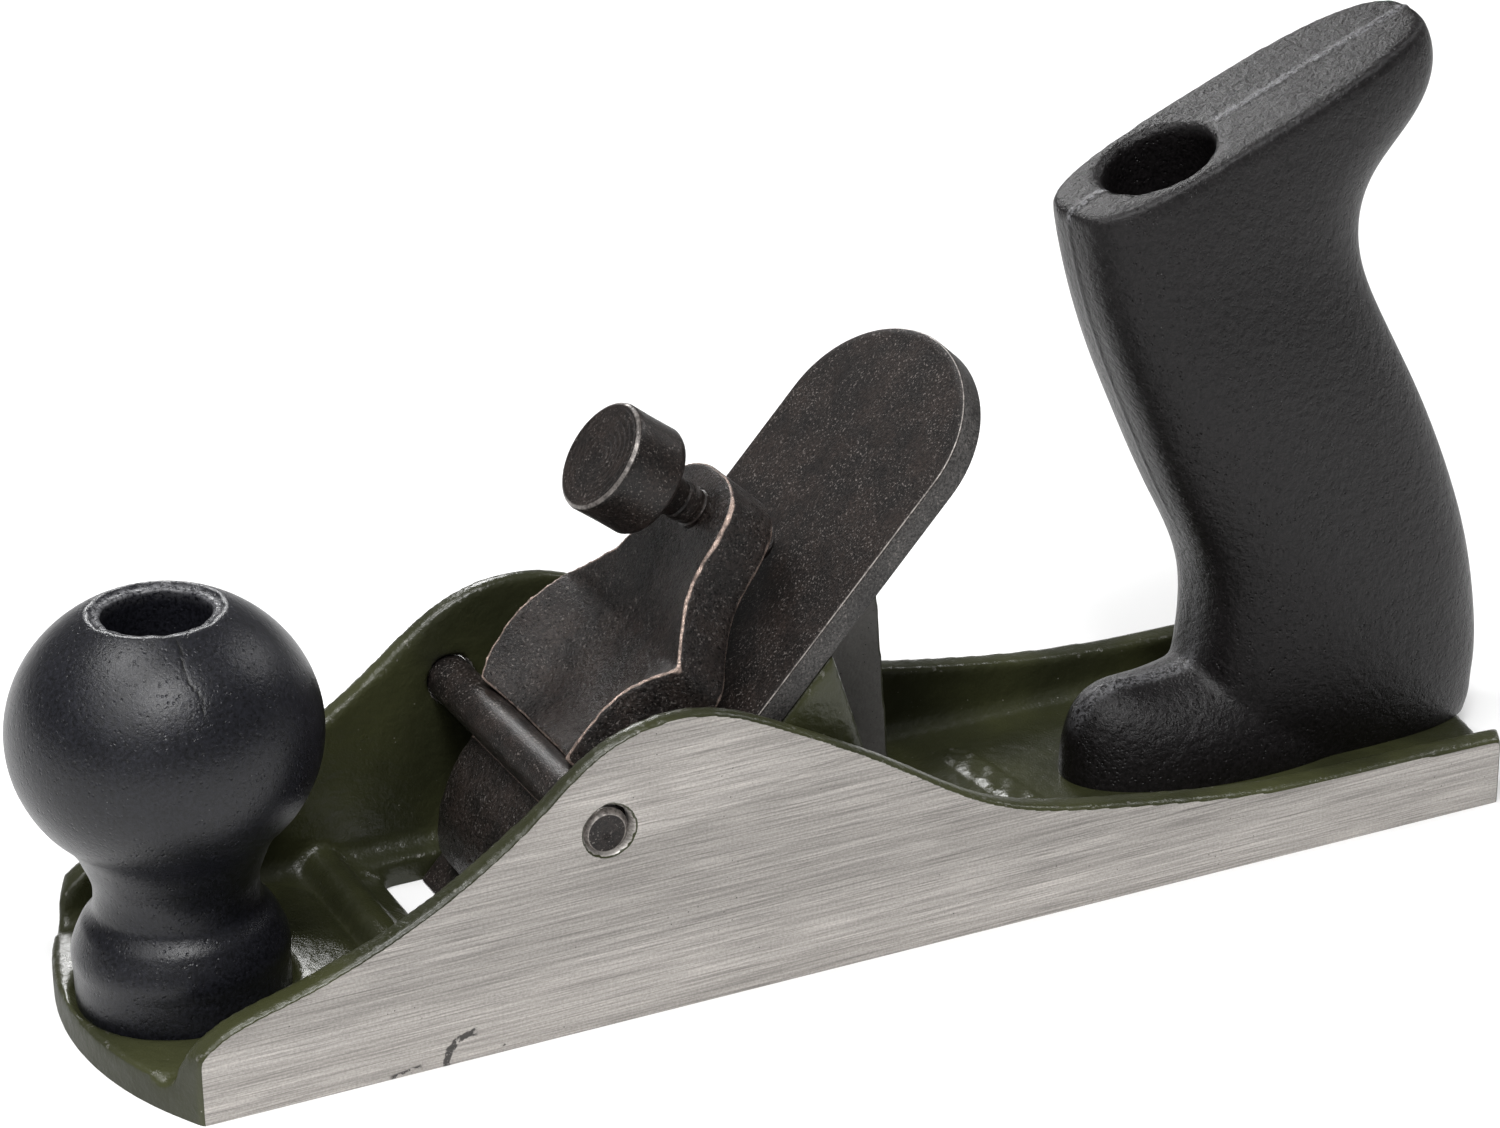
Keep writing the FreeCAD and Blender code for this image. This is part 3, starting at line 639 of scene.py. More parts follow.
def relaxed(points: np.ndarray, links: np.ndarray, rounds: int, pull: float = 0.5) -> np.ndarray:
    """Points drawn towards the middle of their neighbours.

    Args:
        points: points as rows.
        links: edges as pairs of point numbers.
        rounds: how many times.
        pull: share of the way each time.

    Returns:
        The new points.
    """
    size = len(points)
    result = points.copy()
    first, second = links[:, 0], links[:, 1]
    count = np.bincount(links.ravel(), minlength=size)[:, None]
    for _ in range(rounds):
        total = np.stack([np.bincount(first, result[second, k], size)
                          + np.bincount(second, result[first, k], size) for k in range(3)], axis=1)
        result += pull * (total / count - result)
    return result


def convexity(mesh: bpy.types.Mesh, rounds: int, reach: float) -> np.ndarray:
    """How far each vertex stands out of its surroundings, from 0 to 1.

    Args:
        mesh: an evenly divided mesh.
        rounds: how wide the surroundings are.
        reach: height in millimetres that counts as 1.

    Returns:
        One value a vertex.
    """
    points = corners(mesh)
    flat = np.empty(len(mesh.vertices) * 3)
    mesh.vertex_normals.foreach_get("vector", flat)
    lift = ((points - relaxed(points, links_of(mesh), rounds)) * flat.reshape(-1, 3)).sum(axis=1)
    return np.clip(lift / reach, 0.0, 1.0)


def store(mesh: bpy.types.Mesh, name: str, values: np.ndarray) -> None:
    """Keep one value a vertex on the mesh."""
    layer = mesh.attributes.get(name) or mesh.attributes.new(name, "FLOAT", "POINT")
    layer.data.foreach_set("value", values.astype(np.float32))


def step(values: np.ndarray, low: float, high: float) -> np.ndarray:
    """Smooth step from 0 at low to 1 at high."""
    t = np.clip((values - low) / (high - low), 0.0, 1.0)
    return t * t * (3 - 2 * t)


def cad_copy(node: str) -> bpy.types.Mesh:
    """A closed copy of a CAD node's mesh.

    Args:
        node: the node's name.

    Returns:
        The mesh.
    """
    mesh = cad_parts[node].data.copy()
    mesh.materials.clear()
    shape = bmesh.new()
    shape.from_mesh(mesh)
    bmesh.ops.remove_doubles(shape, verts=shape.verts, dist=1e-6)
    shape.to_mesh(mesh)
    shape.free()
    return mesh


def linked(name: str, data: bpy.types.ID) -> bpy.types.Object:
    """An object for a mesh, lamp or camera, in the scene.

    Args:
        name: the object's name.
        data: what it shows.

    Returns:
        The object.
    """
    made = bpy.data.objects.new(name, data)
    bpy.context.scene.collection.objects.link(made)
    return made


def settled(made: bpy.types.Object) -> bpy.types.Mesh:
    """The mesh an object's modifiers give; the object is removed.

    Args:
        made: the object.

    Returns:
        The new mesh.
    """
    depsgraph = bpy.context.evaluated_depsgraph_get()
    mesh = bpy.data.meshes.new_from_object(made.evaluated_get(depsgraph))
    bpy.data.objects.remove(made)
    return mesh


def modified(mesh: bpy.types.Mesh, kind: str, **settings: object) -> bpy.types.Mesh:
    """The mesh after one modifier.

    Args:
        mesh: where to start.
        kind: the modifier's type.
        settings: its properties.

    Returns:
        The new mesh.
    """
    made = linked("work", mesh)
    change = made.modifiers.new("change", kind)
    for key, value in settings.items():
        setattr(change, key, value)
    return settled(made)


def released(shape: bmesh.types.BMesh, name: str) -> bpy.types.Mesh:
    """A new mesh made of an edited shape, which is freed.

    Args:
        shape: the edited shape.
        name: the mesh's name.

    Returns:
        The mesh.
    """
    mesh = bpy.data.meshes.new(name)
    shape.to_mesh(mesh)
    shape.free()
    return mesh


def stacked(shape: bmesh.types.BMesh, rings: list[list[bmesh.types.BMVert]],
            name: str) -> bpy.types.Mesh:
    """A closed mesh from rings of as many corners, joined in order and capped.

    Args:
        shape: the shape that holds the corners; it is freed.
        rings: the rings from one end to the other.
        name: the mesh's name.

    Returns:
        The mesh.
    """
    size = len(rings[0])
    for lower, upper in zip(rings, rings[1:]):
        for k in range(size):
            nxt = (k + 1) % size
            shape.faces.new((lower[k], lower[nxt], upper[nxt], upper[k]))
    shape.faces.new(rings[0])
    shape.faces.new(list(reversed(rings[-1])))
    bmesh.ops.recalc_face_normals(shape, faces=shape.faces)
    return released(shape, name)


def cut(mesh: bpy.types.Mesh, cutter: bpy.types.Object,
        operation: str = "DIFFERENCE") -> bpy.types.Mesh:
    """A mesh with a cutter taken out of it, or only what lies inside the cutter.

    Args:
        mesh: the mesh to cut.
        cutter: the cutter, which is removed afterwards.
        operation: "DIFFERENCE" or "INTERSECT".

    Returns:
        The cut mesh.
    """
    result = modified(mesh, "BOOLEAN", operation=operation, solver="MANIFOLD", object=cutter)
    bpy.data.objects.remove(cutter)
    return result


def node_box(node: str) -> tuple[Point, Point]:
    """Lowest and highest corner of a CAD node's box, in millimetres."""
    low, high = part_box(node)
    return tuple(c / MM for c in low), tuple(c / MM for c in high)


def block(low: Point, high: Point) -> bpy.types.Object:
    """A box between two corners in millimetres, used only to cut.

    Args:
        low: lowest corner.
        high: highest corner.

    Returns:
        The box.
    """
    shape = bmesh.new()
    bmesh.ops.create_cube(shape, size=1.0)
    for corner in shape.verts:
        for k in range(3):
            corner.co[k] = (low[k] if corner.co[k] < 0 else high[k]) * MM
    return linked("block", released(shape, "block"))


def reduced(mesh: bpy.types.Mesh, limit: int) -> bpy.types.Mesh:
    """A mesh of quads brought down to about a limit of triangles.

    Args:
        mesh: the mesh.
        limit: how many triangles it may keep.

    Returns:
        The same mesh, or a lighter one.
    """
    triangles = 2 * len(mesh.polygons)
    if triangles <= limit:
        return mesh
    return modified(mesh, "DECIMATE", ratio=limit / triangles)


def carried(values: np.ndarray, source: np.ndarray, target: np.ndarray) -> np.ndarray:
    """Values moved from source points to the nearest target points.

    Args:
        values: one value a source point.
        source: where the values are.
        target: where they are wanted.

    Returns:
        One value a target point.
    """
    tree = KDTree(len(source))
    for index, point in enumerate(source):
        tree.insert(point, index)
    tree.balance()
    nearest = [tree.find(point)[1] for point in target]
    return values[np.array(nearest)]


def shaded(mesh: bpy.types.Mesh, sharp: float = 40.0) -> None:
    """Smooth shading with edges sharper than an angle in degrees kept."""
    mesh.shade_smooth()
    mesh.set_sharp_from_angle(angle=math.radians(sharp))


def face_facts(mesh: bpy.types.Mesh) -> tuple[np.ndarray, np.ndarray]:
    """Face middles in millimetres and face normals, as rows.

    Args:
        mesh: the mesh.

    Returns:
        Middles and normals.
    """
    size = len(mesh.polygons)
    middle = np.empty(size * 3)
    normal = np.empty(size * 3)
    mesh.polygons.foreach_get("center", middle)
    mesh.polygons.foreach_get("normal", normal)
    return middle.reshape(-1, 3) / MM, normal.reshape(-1, 3)


@dataclass
class Casting:
    """A cast or moulded piece: the CAD shape gone soft at its edges, then cut flat.

    Sizes are in millimetres. grow moves flat faces out before softening, so that
    cutting them back leaves them crisp. mould reshapes before softening, shape after.
    """
    name: str
    node: str
    grain: float
    rounds: int
    low: Point
    high: Point
    grow: Callable[[np.ndarray], np.ndarray] | None = None
    mould: Callable[[np.ndarray], np.ndarray] | None = None
    shape: Callable[[np.ndarray], np.ndarray] | None = None
    marks: dict[str, Callable[[np.ndarray], np.ndarray]] = field(default_factory=dict)
    wear_rounds: int = 6
    wear_reach: float = 0.10
    limit: int = 180_000

    def mesh(self) -> bpy.types.Mesh:
        """Make the piece's mesh, with wear and marks stored on it.

        Returns:
            The mesh.
        """
        mesh = cad_copy(self.node)
        if self.grow:
            place_corners(mesh, self.grow(corners(mesh)))
        mesh = modified(mesh, "REMESH", mode="VOXEL", voxel_size=self.grain * MM)
        points = self.mould(corners(mesh)) if self.mould else corners(mesh)
        points = relaxed(points, links_of(mesh), self.rounds)
        if self.shape:
            points = self.shape(points)
        place_corners(mesh, points)
        wear = convexity(mesh, self.wear_rounds, self.wear_reach)
        mesh = cut(mesh, block(self.low, self.high), "INTERSECT")
        mesh = reduced(mesh, self.limit)
        final = corners(mesh)
        store(mesh, "wear", carried(wear, points, final))
        for mark, rule in self.marks.items():
            store(mesh, mark, rule(final))
        log.info("%s: %d vertices", self.name, len(mesh.vertices))
        return mesh


def lathed(profile: list[tuple[float, float]], foot: np.ndarray, axis: np.ndarray,
           sides: int = 96) -> bpy.types.Mesh:
    """A turned piece.

    Args:
        profile: radius and height pairs from one end's middle to the other's, in millimetres.
        foot: where height is 0.
        axis: unit direction of height.
        sides: how many faces round.

    Returns:
        A closed mesh.
    """
    side = np.array([1.0, 0.0, 0.0]) if abs(axis[1]) > 0.9 else np.array([0.0, 1.0, 0.0])
    other = np.cross(axis, side)
    shape = bmesh.new()
    rings: list[list[bmesh.types.BMVert]] = []
    for radius, height in profile:
        centre = foot + axis * height
        if radius == 0:
            rings.append([shape.verts.new(Vector(centre * MM))])
            continue
        turns = [2 * math.pi * k / sides for k in range(sides)]
        rings.append([shape.verts.new(Vector(
            (centre + (side * math.cos(a) + other * math.sin(a)) * radius) * MM)) for a in turns])
    for lower, upper in zip(rings, rings[1:]):
        for k in range(sides):
            nxt = (k + 1) % sides
            if len(lower) == 1:
                shape.faces.new((lower[0], upper[nxt], upper[k]))
            elif len(upper) == 1:
                shape.faces.new((lower[k], lower[nxt], upper[0]))
            else:
                shape.faces.new((lower[k], lower[nxt], upper[nxt], upper[k]))
    bmesh.ops.recalc_face_normals(shape, faces=shape.faces)
    return released(shape, "lathed")


def fitted(name: str, mesh: bpy.types.Mesh, rider: Rider,
           materials: list[bpy.types.Material], nodes: tuple[str, ...] = ()) -> bpy.types.Object:
    """Put a finished piece on its body.

    Args:
        name: the piece's name.
        mesh: its mesh, in place.
        rider: the body it moves with.
        materials: its materials in order.
        nodes: CAD nodes it stands for.

    Returns:
        The piece.
    """
    mesh.name = name
    mesh.materials.clear()
    for material in materials:
        mesh.materials.append(material)
    piece = linked(name, mesh)
    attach(piece, rider.value)
    if nodes:
        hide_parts(*nodes)
    log.info("piece %s on %s", name, rider.value)
    return piece


def painted(piece: bpy.types.Object, numbers: np.ndarray) -> None:
    """Give each face of a piece the material of that number."""
    piece.data.polygons.foreach_set("material_index", numbers.astype(np.int32))
    piece.data.update()


# --- the plane's parts ----------------------------------------------------------------
@dataclass
class Part:
    """A part of the plane, dressed from the shop's finishes."""
    finishes: Finishes


@dataclass
class PlaneBody(Part):
    """The casting: painted inside, ground on its sides and sole."""
    half_width: float = 30.0
    half_length: float = 113.0
    spare: float = 0.35
    sole_spare: float = 1.5
    near_rise: float = 0.8
    far_drop: float = 0.7
    top: float = 80.0
    floor: float = 4.2
    bar_x: float = 35.2
    bar_y: float = 5.5
    bar_turn: float = 0.10
    bar_rise: float = 0.6
    cheek_inside: float = 26.5
    hole_rim: float = 1.4

    def grow(self, points: np.ndarray) -> np.ndarray:
        """Move the sides and the sole out by the spare.

        Args:
            points: points as rows, in millimetres.

        Returns:
            The new points.
        """
        points = points.copy()
        rise = step(points[:, 1], -22.0, -25.0) * step(points[:, 2], 8.0, 14.0)
        points[:, 2] += self.near_rise * rise
        flank = np.abs(points[:, 1]) > self.half_width - 0.05
        points[flank, 1] += np.sign(points[flank, 1]) * self.spare
        points[points[:, 2] < 0.02, 2] -= self.sole_spare
        return points

    def sag(self, points: np.ndarray) -> np.ndarray:
        """Lower the far cheek's crest, and raise a plain uneven bar on the rear floor.

        Args:
            points: points as rows, in millimetres.

        Returns:
            The new points.
        """
        weight = step(points[:, 1], 12.0, 24.0) * step(points[:, 2], 32.0, 43.0)
        points = points.copy()
        points[:, 2] -= self.far_drop * weight
        across = points[:, 1] - self.bar_y
        along = (points[:, 0] - self.bar_x) + self.bar_turn * across
        bar = step(np.abs(across), 12.0, 10.6) * step(np.abs(along), 2.9, 1.9)
        lumps = 0.62 + 0.38 * np.sin(across * 1.9) * np.sin(across * 0.7 + along * 1.3)
        floor = step(np.abs(points[:, 2] - self.floor), 0.8, 0.3)
        points[:, 2] += self.bar_rise * bar * lumps * floor
        return points

    def build(self) -> None:
        """Make the body."""
        half = self.half_width
        cast = Casting("plane_body", "body_casting", grain=0.62, rounds=7,
                       low=(-self.half_length, -half, 0.0), high=(self.half_length, half, self.top),
                       grow=self.grow, shape=self.sag, limit=190_000)
        mesh = cast.mesh()
        middle, normal = face_facts(mesh)
        flank = (np.abs(normal[:, 1]) > 0.98) & (np.abs(middle[:, 1]) > half - 0.03)
        sole = (normal[:, 2] < -0.98) & (middle[:, 2] < 0.03)
        rod = BED.point(CrossRod.along, CrossRod.above)
        from_rod = np.hypot(middle[:, 0] - rod[0], middle[:, 2] - rod[2])
        near_rod = from_rod < CrossRod.radius + self.hole_rim
        in_cheek = np.abs(middle[:, 1]) > self.cheek_inside
        hole = near_rod & in_cheek & (np.abs(normal[:, 1]) < 0.6)
        shaded(mesh)
        piece = fitted("plane_body", mesh, Rider.BODY,
                       [self.finishes.paint, self.finishes.ground], ("body_casting",))
        painted(piece, flank | sole | hole)


@dataclass
class CrossRod(Part):
    """The rod the lever cap pulls against."""
    radius: float = 3.5
    half: float = 29.0
    chamfer: float = 0.7
    ring: float = 2.5
    along: float = 27.1
    above: float = 13.6

    def build(self) -> None:
        """Make the rod with a small centre dimple in each end."""
        near = -self.half
        end = [(0.0, near + 0.5), (0.8, near + 0.12), (1.1, near), (self.ring - 0.15, near),
               (self.radius - self.chamfer, near), (self.radius, near + self.chamfer)]
        ribs = [(self.radius, near + self.chamfer + k) for k in range(1, int(2 * self.half) - 1)]
        far = [(radius, -height) for radius, height in reversed(end)]
        middle = BED.point(self.along, self.above)
        mesh = lathed(end + ribs + far, middle, np.array([0.0, 1.0, 0.0]), 64)
        points = corners(mesh)
        rim = np.hypot(points[:, 0] - middle[0], points[:, 2] - middle[2])
        at_end = np.abs(points[:, 1]) > self.half - self.chamfer - 0.05
        worn = at_end & (rim > self.ring)
        store(mesh, "wear", worn * 0.9)
        shaded(mesh, 30.0)
        fitted("cap_rod", mesh, Rider.BODY, [self.finishes.iron], ("cross_rod",))


@dataclass
class Iron(Part):
    """The thick iron: rounded at its top end, bevelled at its edge."""
    start: float = 0.5
    length: float = 108.7
    crown: float = 17.0
    half: float = 21.65
    thick: float = 4.0
    arris: float = 0.28
    bevel: float = 7.2
    bevel_angle: float = math.radians(30.0)

    def outline(self, inset: float) -> list[tuple[float, float]]:
        """Outline as along and across, drawn in by an inset.

        Args:
            inset: how far in.

        Returns:
            The outline's points, in order.
        """
        shoulder = self.start + self.length - self.crown
        steps = 56
        arc = []
        for k in range(steps + 1):
            turn = math.pi * k / steps
            arc.append((shoulder + (self.crown - inset) * math.sin(turn),
                        -(self.half - inset) * math.cos(turn)))
        lower = [self.start + (shoulder - self.start) * k / 24 for k in range(25)][:-1]
        left = [(a, -(self.half - inset)) for a in lower]
        right = [(a, self.half - inset) for a in reversed(lower)]
        return left + arc + right

    def build(self) -> None:
        """Make the iron as stacked outlines: worn arris, sides and back."""
        levels = [(1.2, 0.0), (self.arris, 0.0), (self.arris * 0.35, -self.arris * 0.3),
                  (0.0, -self.arris), (0.0, -self.thick + 0.35), (0.12, -self.thick + 0.1),
                  (0.4, -self.thick), (1.4, -self.thick)]
        wear = [0.0, 0.35, 1.0, 0.3, 0.0, 0.25, 0.2, 0.0]
        shape = bmesh.new()
        value = shape.verts.layers.float.new("wear")
        rings = []
        for (inset, above), worn in zip(levels, wear):
            ring = []
            for along, across in self.outline(inset):
                corner = shape.verts.new(Vector(BED.point(along, above, across) * MM))
                corner[value] = worn
                ring.append(corner)
            rings.append(ring)
        mesh = self.sharpened(stacked(shape, rings, "iron"))
        middle, normal = face_facts(mesh)
        lean = normal @ BED.out
        shaded(mesh, 32.0)
        piece = fitted("plane_iron_blade", mesh, Rider.IRON,
                       [self.finishes.iron, self.finishes.iron_side, self.finishes.steel],
                       ("plane_iron",))
        along, _ = BED.places(middle)
        bevel = (lean < -0.6) & (along < self.start + self.bevel) & (np.abs(lean) < 0.95)
        painted(piece, np.where(bevel, 2, np.where(lean < 0.3, 1, 0)))

    def sharpened(self, mesh: bpy.types.Mesh) -> bpy.types.Mesh:
        """Cut the edge's bevel, at its angle to the iron's face.

        Args:
            mesh: the blunt iron.

        Returns:
            The same mesh, sharpened.
        """
        edge = BED.point(self.start + 0.05, 0.0)
        facing = BED.up * -math.sin(self.bevel_angle) + BED.out * -math.cos(self.bevel_angle)
        shape = bmesh.new()
        shape.from_mesh(mesh)
        everything = list(shape.verts) + list(shape.edges) + list(shape.faces)
        bmesh.ops.bisect_plane(shape, geom=everything, plane_co=Vector(edge * MM),
                               plane_no=Vector(facing), clear_outer=True, dist=1e-8)
        rim = [e for e in shape.edges if e.is_boundary]
        bmesh.ops.holes_fill(shape, edges=rim, sides=0)
        bmesh.ops.triangulate(shape, faces=[f for f in shape.faces if len(f.verts) > 4])
        shape.to_mesh(mesh)
        shape.free()
        return mesh


@dataclass
class LeverCap(Part):
    """The cast cap: a crowned nose, two wings, a hollow between them and a lobe.

    Each row of sections holds, by distance up the bed: half width at the foot of the
    side, half width at the ridge, ridge height, height in the middle, underside, and
    how squarely the hollow is dished.
    """
    sections: tuple[tuple[float, ...], ...] = (
        (5.4, 19.3, 13.0, 1.2, 1.4, 0.12, 5.0),
        (6.4, 19.8, 13.0, 4.6, 4.9, 0.12, 5.0),
        (8.4, 20.0, 13.2, 7.0, 7.4, 0.12, 5.0),
        (12.0, 20.0, 13.6, 9.6, 10.2, 1.4, 5.0),
        (17.0, 20.0, 14.4, 11.3, 11.8, 2.2, 5.0),
        (22.5, 20.0, 15.4, 12.0, 12.3, 2.8, 5.0),
        (26.5, 20.0, 13.6, 14.4, 13.6, 3.2, 3.4),
        (30.5, 20.0, 15.0, 17.2, 13.2, 3.5, 3.4),
        (34.0, 20.0, 16.0, 18.2, 12.0, 3.8, 3.4),
        (40.0, 20.0, 16.7, 18.4, 10.9, 4.2, 3.2),
        (44.0, 20.0, 17.2, 17.6, 10.5, 4.5, 3.0),
        (47.5, 20.0, 18.1, 15.8, 10.4, 4.7, 2.6),
        (50.3, 19.9, 19.1, 13.9, 10.5, 4.9, 2.3),
        (52.2, 18.6, 17.0, 14.0, 10.8, 5.0, 2.2),
        (54.5, 16.0, 14.7, 14.2, 11.3, 5.3, 2.2),
        (58.0, 13.0, 11.6, 14.5, 12.2, 5.7, 2.1),
        (61.0, 11.5, 10.3, 14.8, 13.0, 6.1, 2.0),
        (64.0, 11.0, 9.9, 15.1, 13.8, 6.5, 2.0),
        (67.2, 11.0, 10.0, 15.4, 14.7, 6.9, 2.0),
        (71.2, 10.2, 9.3, 15.8, 15.5, 7.3, 2.0),
        (73.3, 9.0, 8.0, 15.9, 15.8, 7.6, 2.0),
        (74.8, 6.6, 5.4, 15.9, 15.9, 7.7, 2.0),
        (75.5, 3.6, 2.6, 15.8, 15.8, 7.8, 2.0),
    )
    rod_along: float = 27.1
    rod_above: float = 13.6
    groove: float = 3.6
    groove_length: float = 52.0
    stud_bore: float = 3.05
    spacing: float = 0.5
    grain: float = 0.36
    seat: float = 0.12
    limit: int = 150_000

    def section(self, along: float) -> list[tuple[float, float]]:
        """One cross section, as across and above, from the near foot round the top.

        Args:
            along: distance up the bed.

        Returns:
            The closed outline's points.
        """
        table = np.array(self.sections)
        foot, ridge, high, middle, under, square = (
            np.interp(along, table[:, 0], table[:, k]) for k in range(1, 7))
        crown = [k / 12 for k in range(13)]
        inner = [(ridge * u, middle + (high - middle) * u ** square) for u in crown]
        nose = float(step(np.array(along), 24.0, 20.0))
        outer = []
        for k in range(1, 13):
            u = k / 12
            straight = (ridge + (foot - ridge) * u, high + (under + 0.6 - high) * u)
            turn = u * math.pi / 2
            round_ = (ridge + (foot - ridge) * math.sin(turn),
                      under + 0.6 + (high - under - 0.6) * math.cos(turn))
            full = 0.35 + 0.6 * nose
            outer.append(tuple(p * (1 - full) + q * full for p, q in zip(straight, round_)))
        outer.append((foot - 0.4, under))
        half = inner + outer
        mirrored = [(-across, above) for across, above in reversed(half[1:])]
        return mirrored + half

    def blank(self) -> bpy.types.Mesh:
        """Loft the sections.

        Returns:
            The uncut cap.
        """
        first, last = self.sections[0][0], self.sections[-1][0]
        count = int((last - first) / self.spacing)
        shape = bmesh.new()
        rings = []
        for k in range(count + 1):
            along = first + (last - first) * k / count
            rings.append([shape.verts.new(Vector(BED.point(along, above, across) * MM))
                          for across, above in self.section(along)])
        return stacked(shape, rings, "cap_blank")

    def slotted(self, mesh: bpy.types.Mesh, radius: float) -> bpy.types.Mesh:
        """Cut the rod's groove, open at the top.

        Args:
            mesh: the cap so far.
            radius: the groove's radius.

        Returns:
            The cut cap.
        """
        reach = self.groove_length / 2
        outline = []
        for k in range(25):
            turn = math.pi * (1 + k / 24)
            outline.append((self.rod_along + radius * math.cos(turn),
                            self.rod_above + radius * math.sin(turn)))
        outline += [(self.rod_along + radius, self.rod_above + 14),
                    (self.rod_along - radius, self.rod_above + 14)]
        shape = bmesh.new()
        sides = [[shape.verts.new(Vector(BED.point(a, t, y) * MM)) for a, t in outline]
                 for y in (-reach, reach)]
        return cut(mesh, linked("groove", stacked(shape, sides, "groove")))

    def bored(self, mesh: bpy.types.Mesh) -> bpy.types.Mesh:
        """Cut the thumb screw's hole.

        Args:
            mesh: the cap so far.

        Returns:
            The bored cap.
        """
        screw = ThumbScrew(self.finishes)
        profile = [(0.0, -30.0), (self.stud_bore, -30.0), (self.stud_bore, 12.0), (0.0, 12.0)]
        return cut(mesh, linked("bore", lathed(profile, screw.lobe, screw.axis, 48)))

    def build(self) -> None:
        """Make the cap."""
        mesh = self.slotted(self.blank(), self.groove)
        mesh = modified(mesh, "REMESH", mode="VOXEL", voxel_size=self.grain * MM)
        points = relaxed(corners(mesh), links_of(mesh), 7)
        _, above = BED.places(points)
        points += np.maximum(self.seat - above, 0.0)[:, None] * BED.out
        place_corners(mesh, points)
        wear = convexity(mesh, 8, 0.12)
        mesh = reduced(self.bored(self.slotted(mesh, self.groove)), self.limit)
        store(mesh, "wear", carried(wear, points, corners(mesh)))
        shaded(mesh, 60.0)
        fitted("lever_cap_casting", mesh, Rider.CAP, [self.finishes.cap],
               ("lever_cap",))


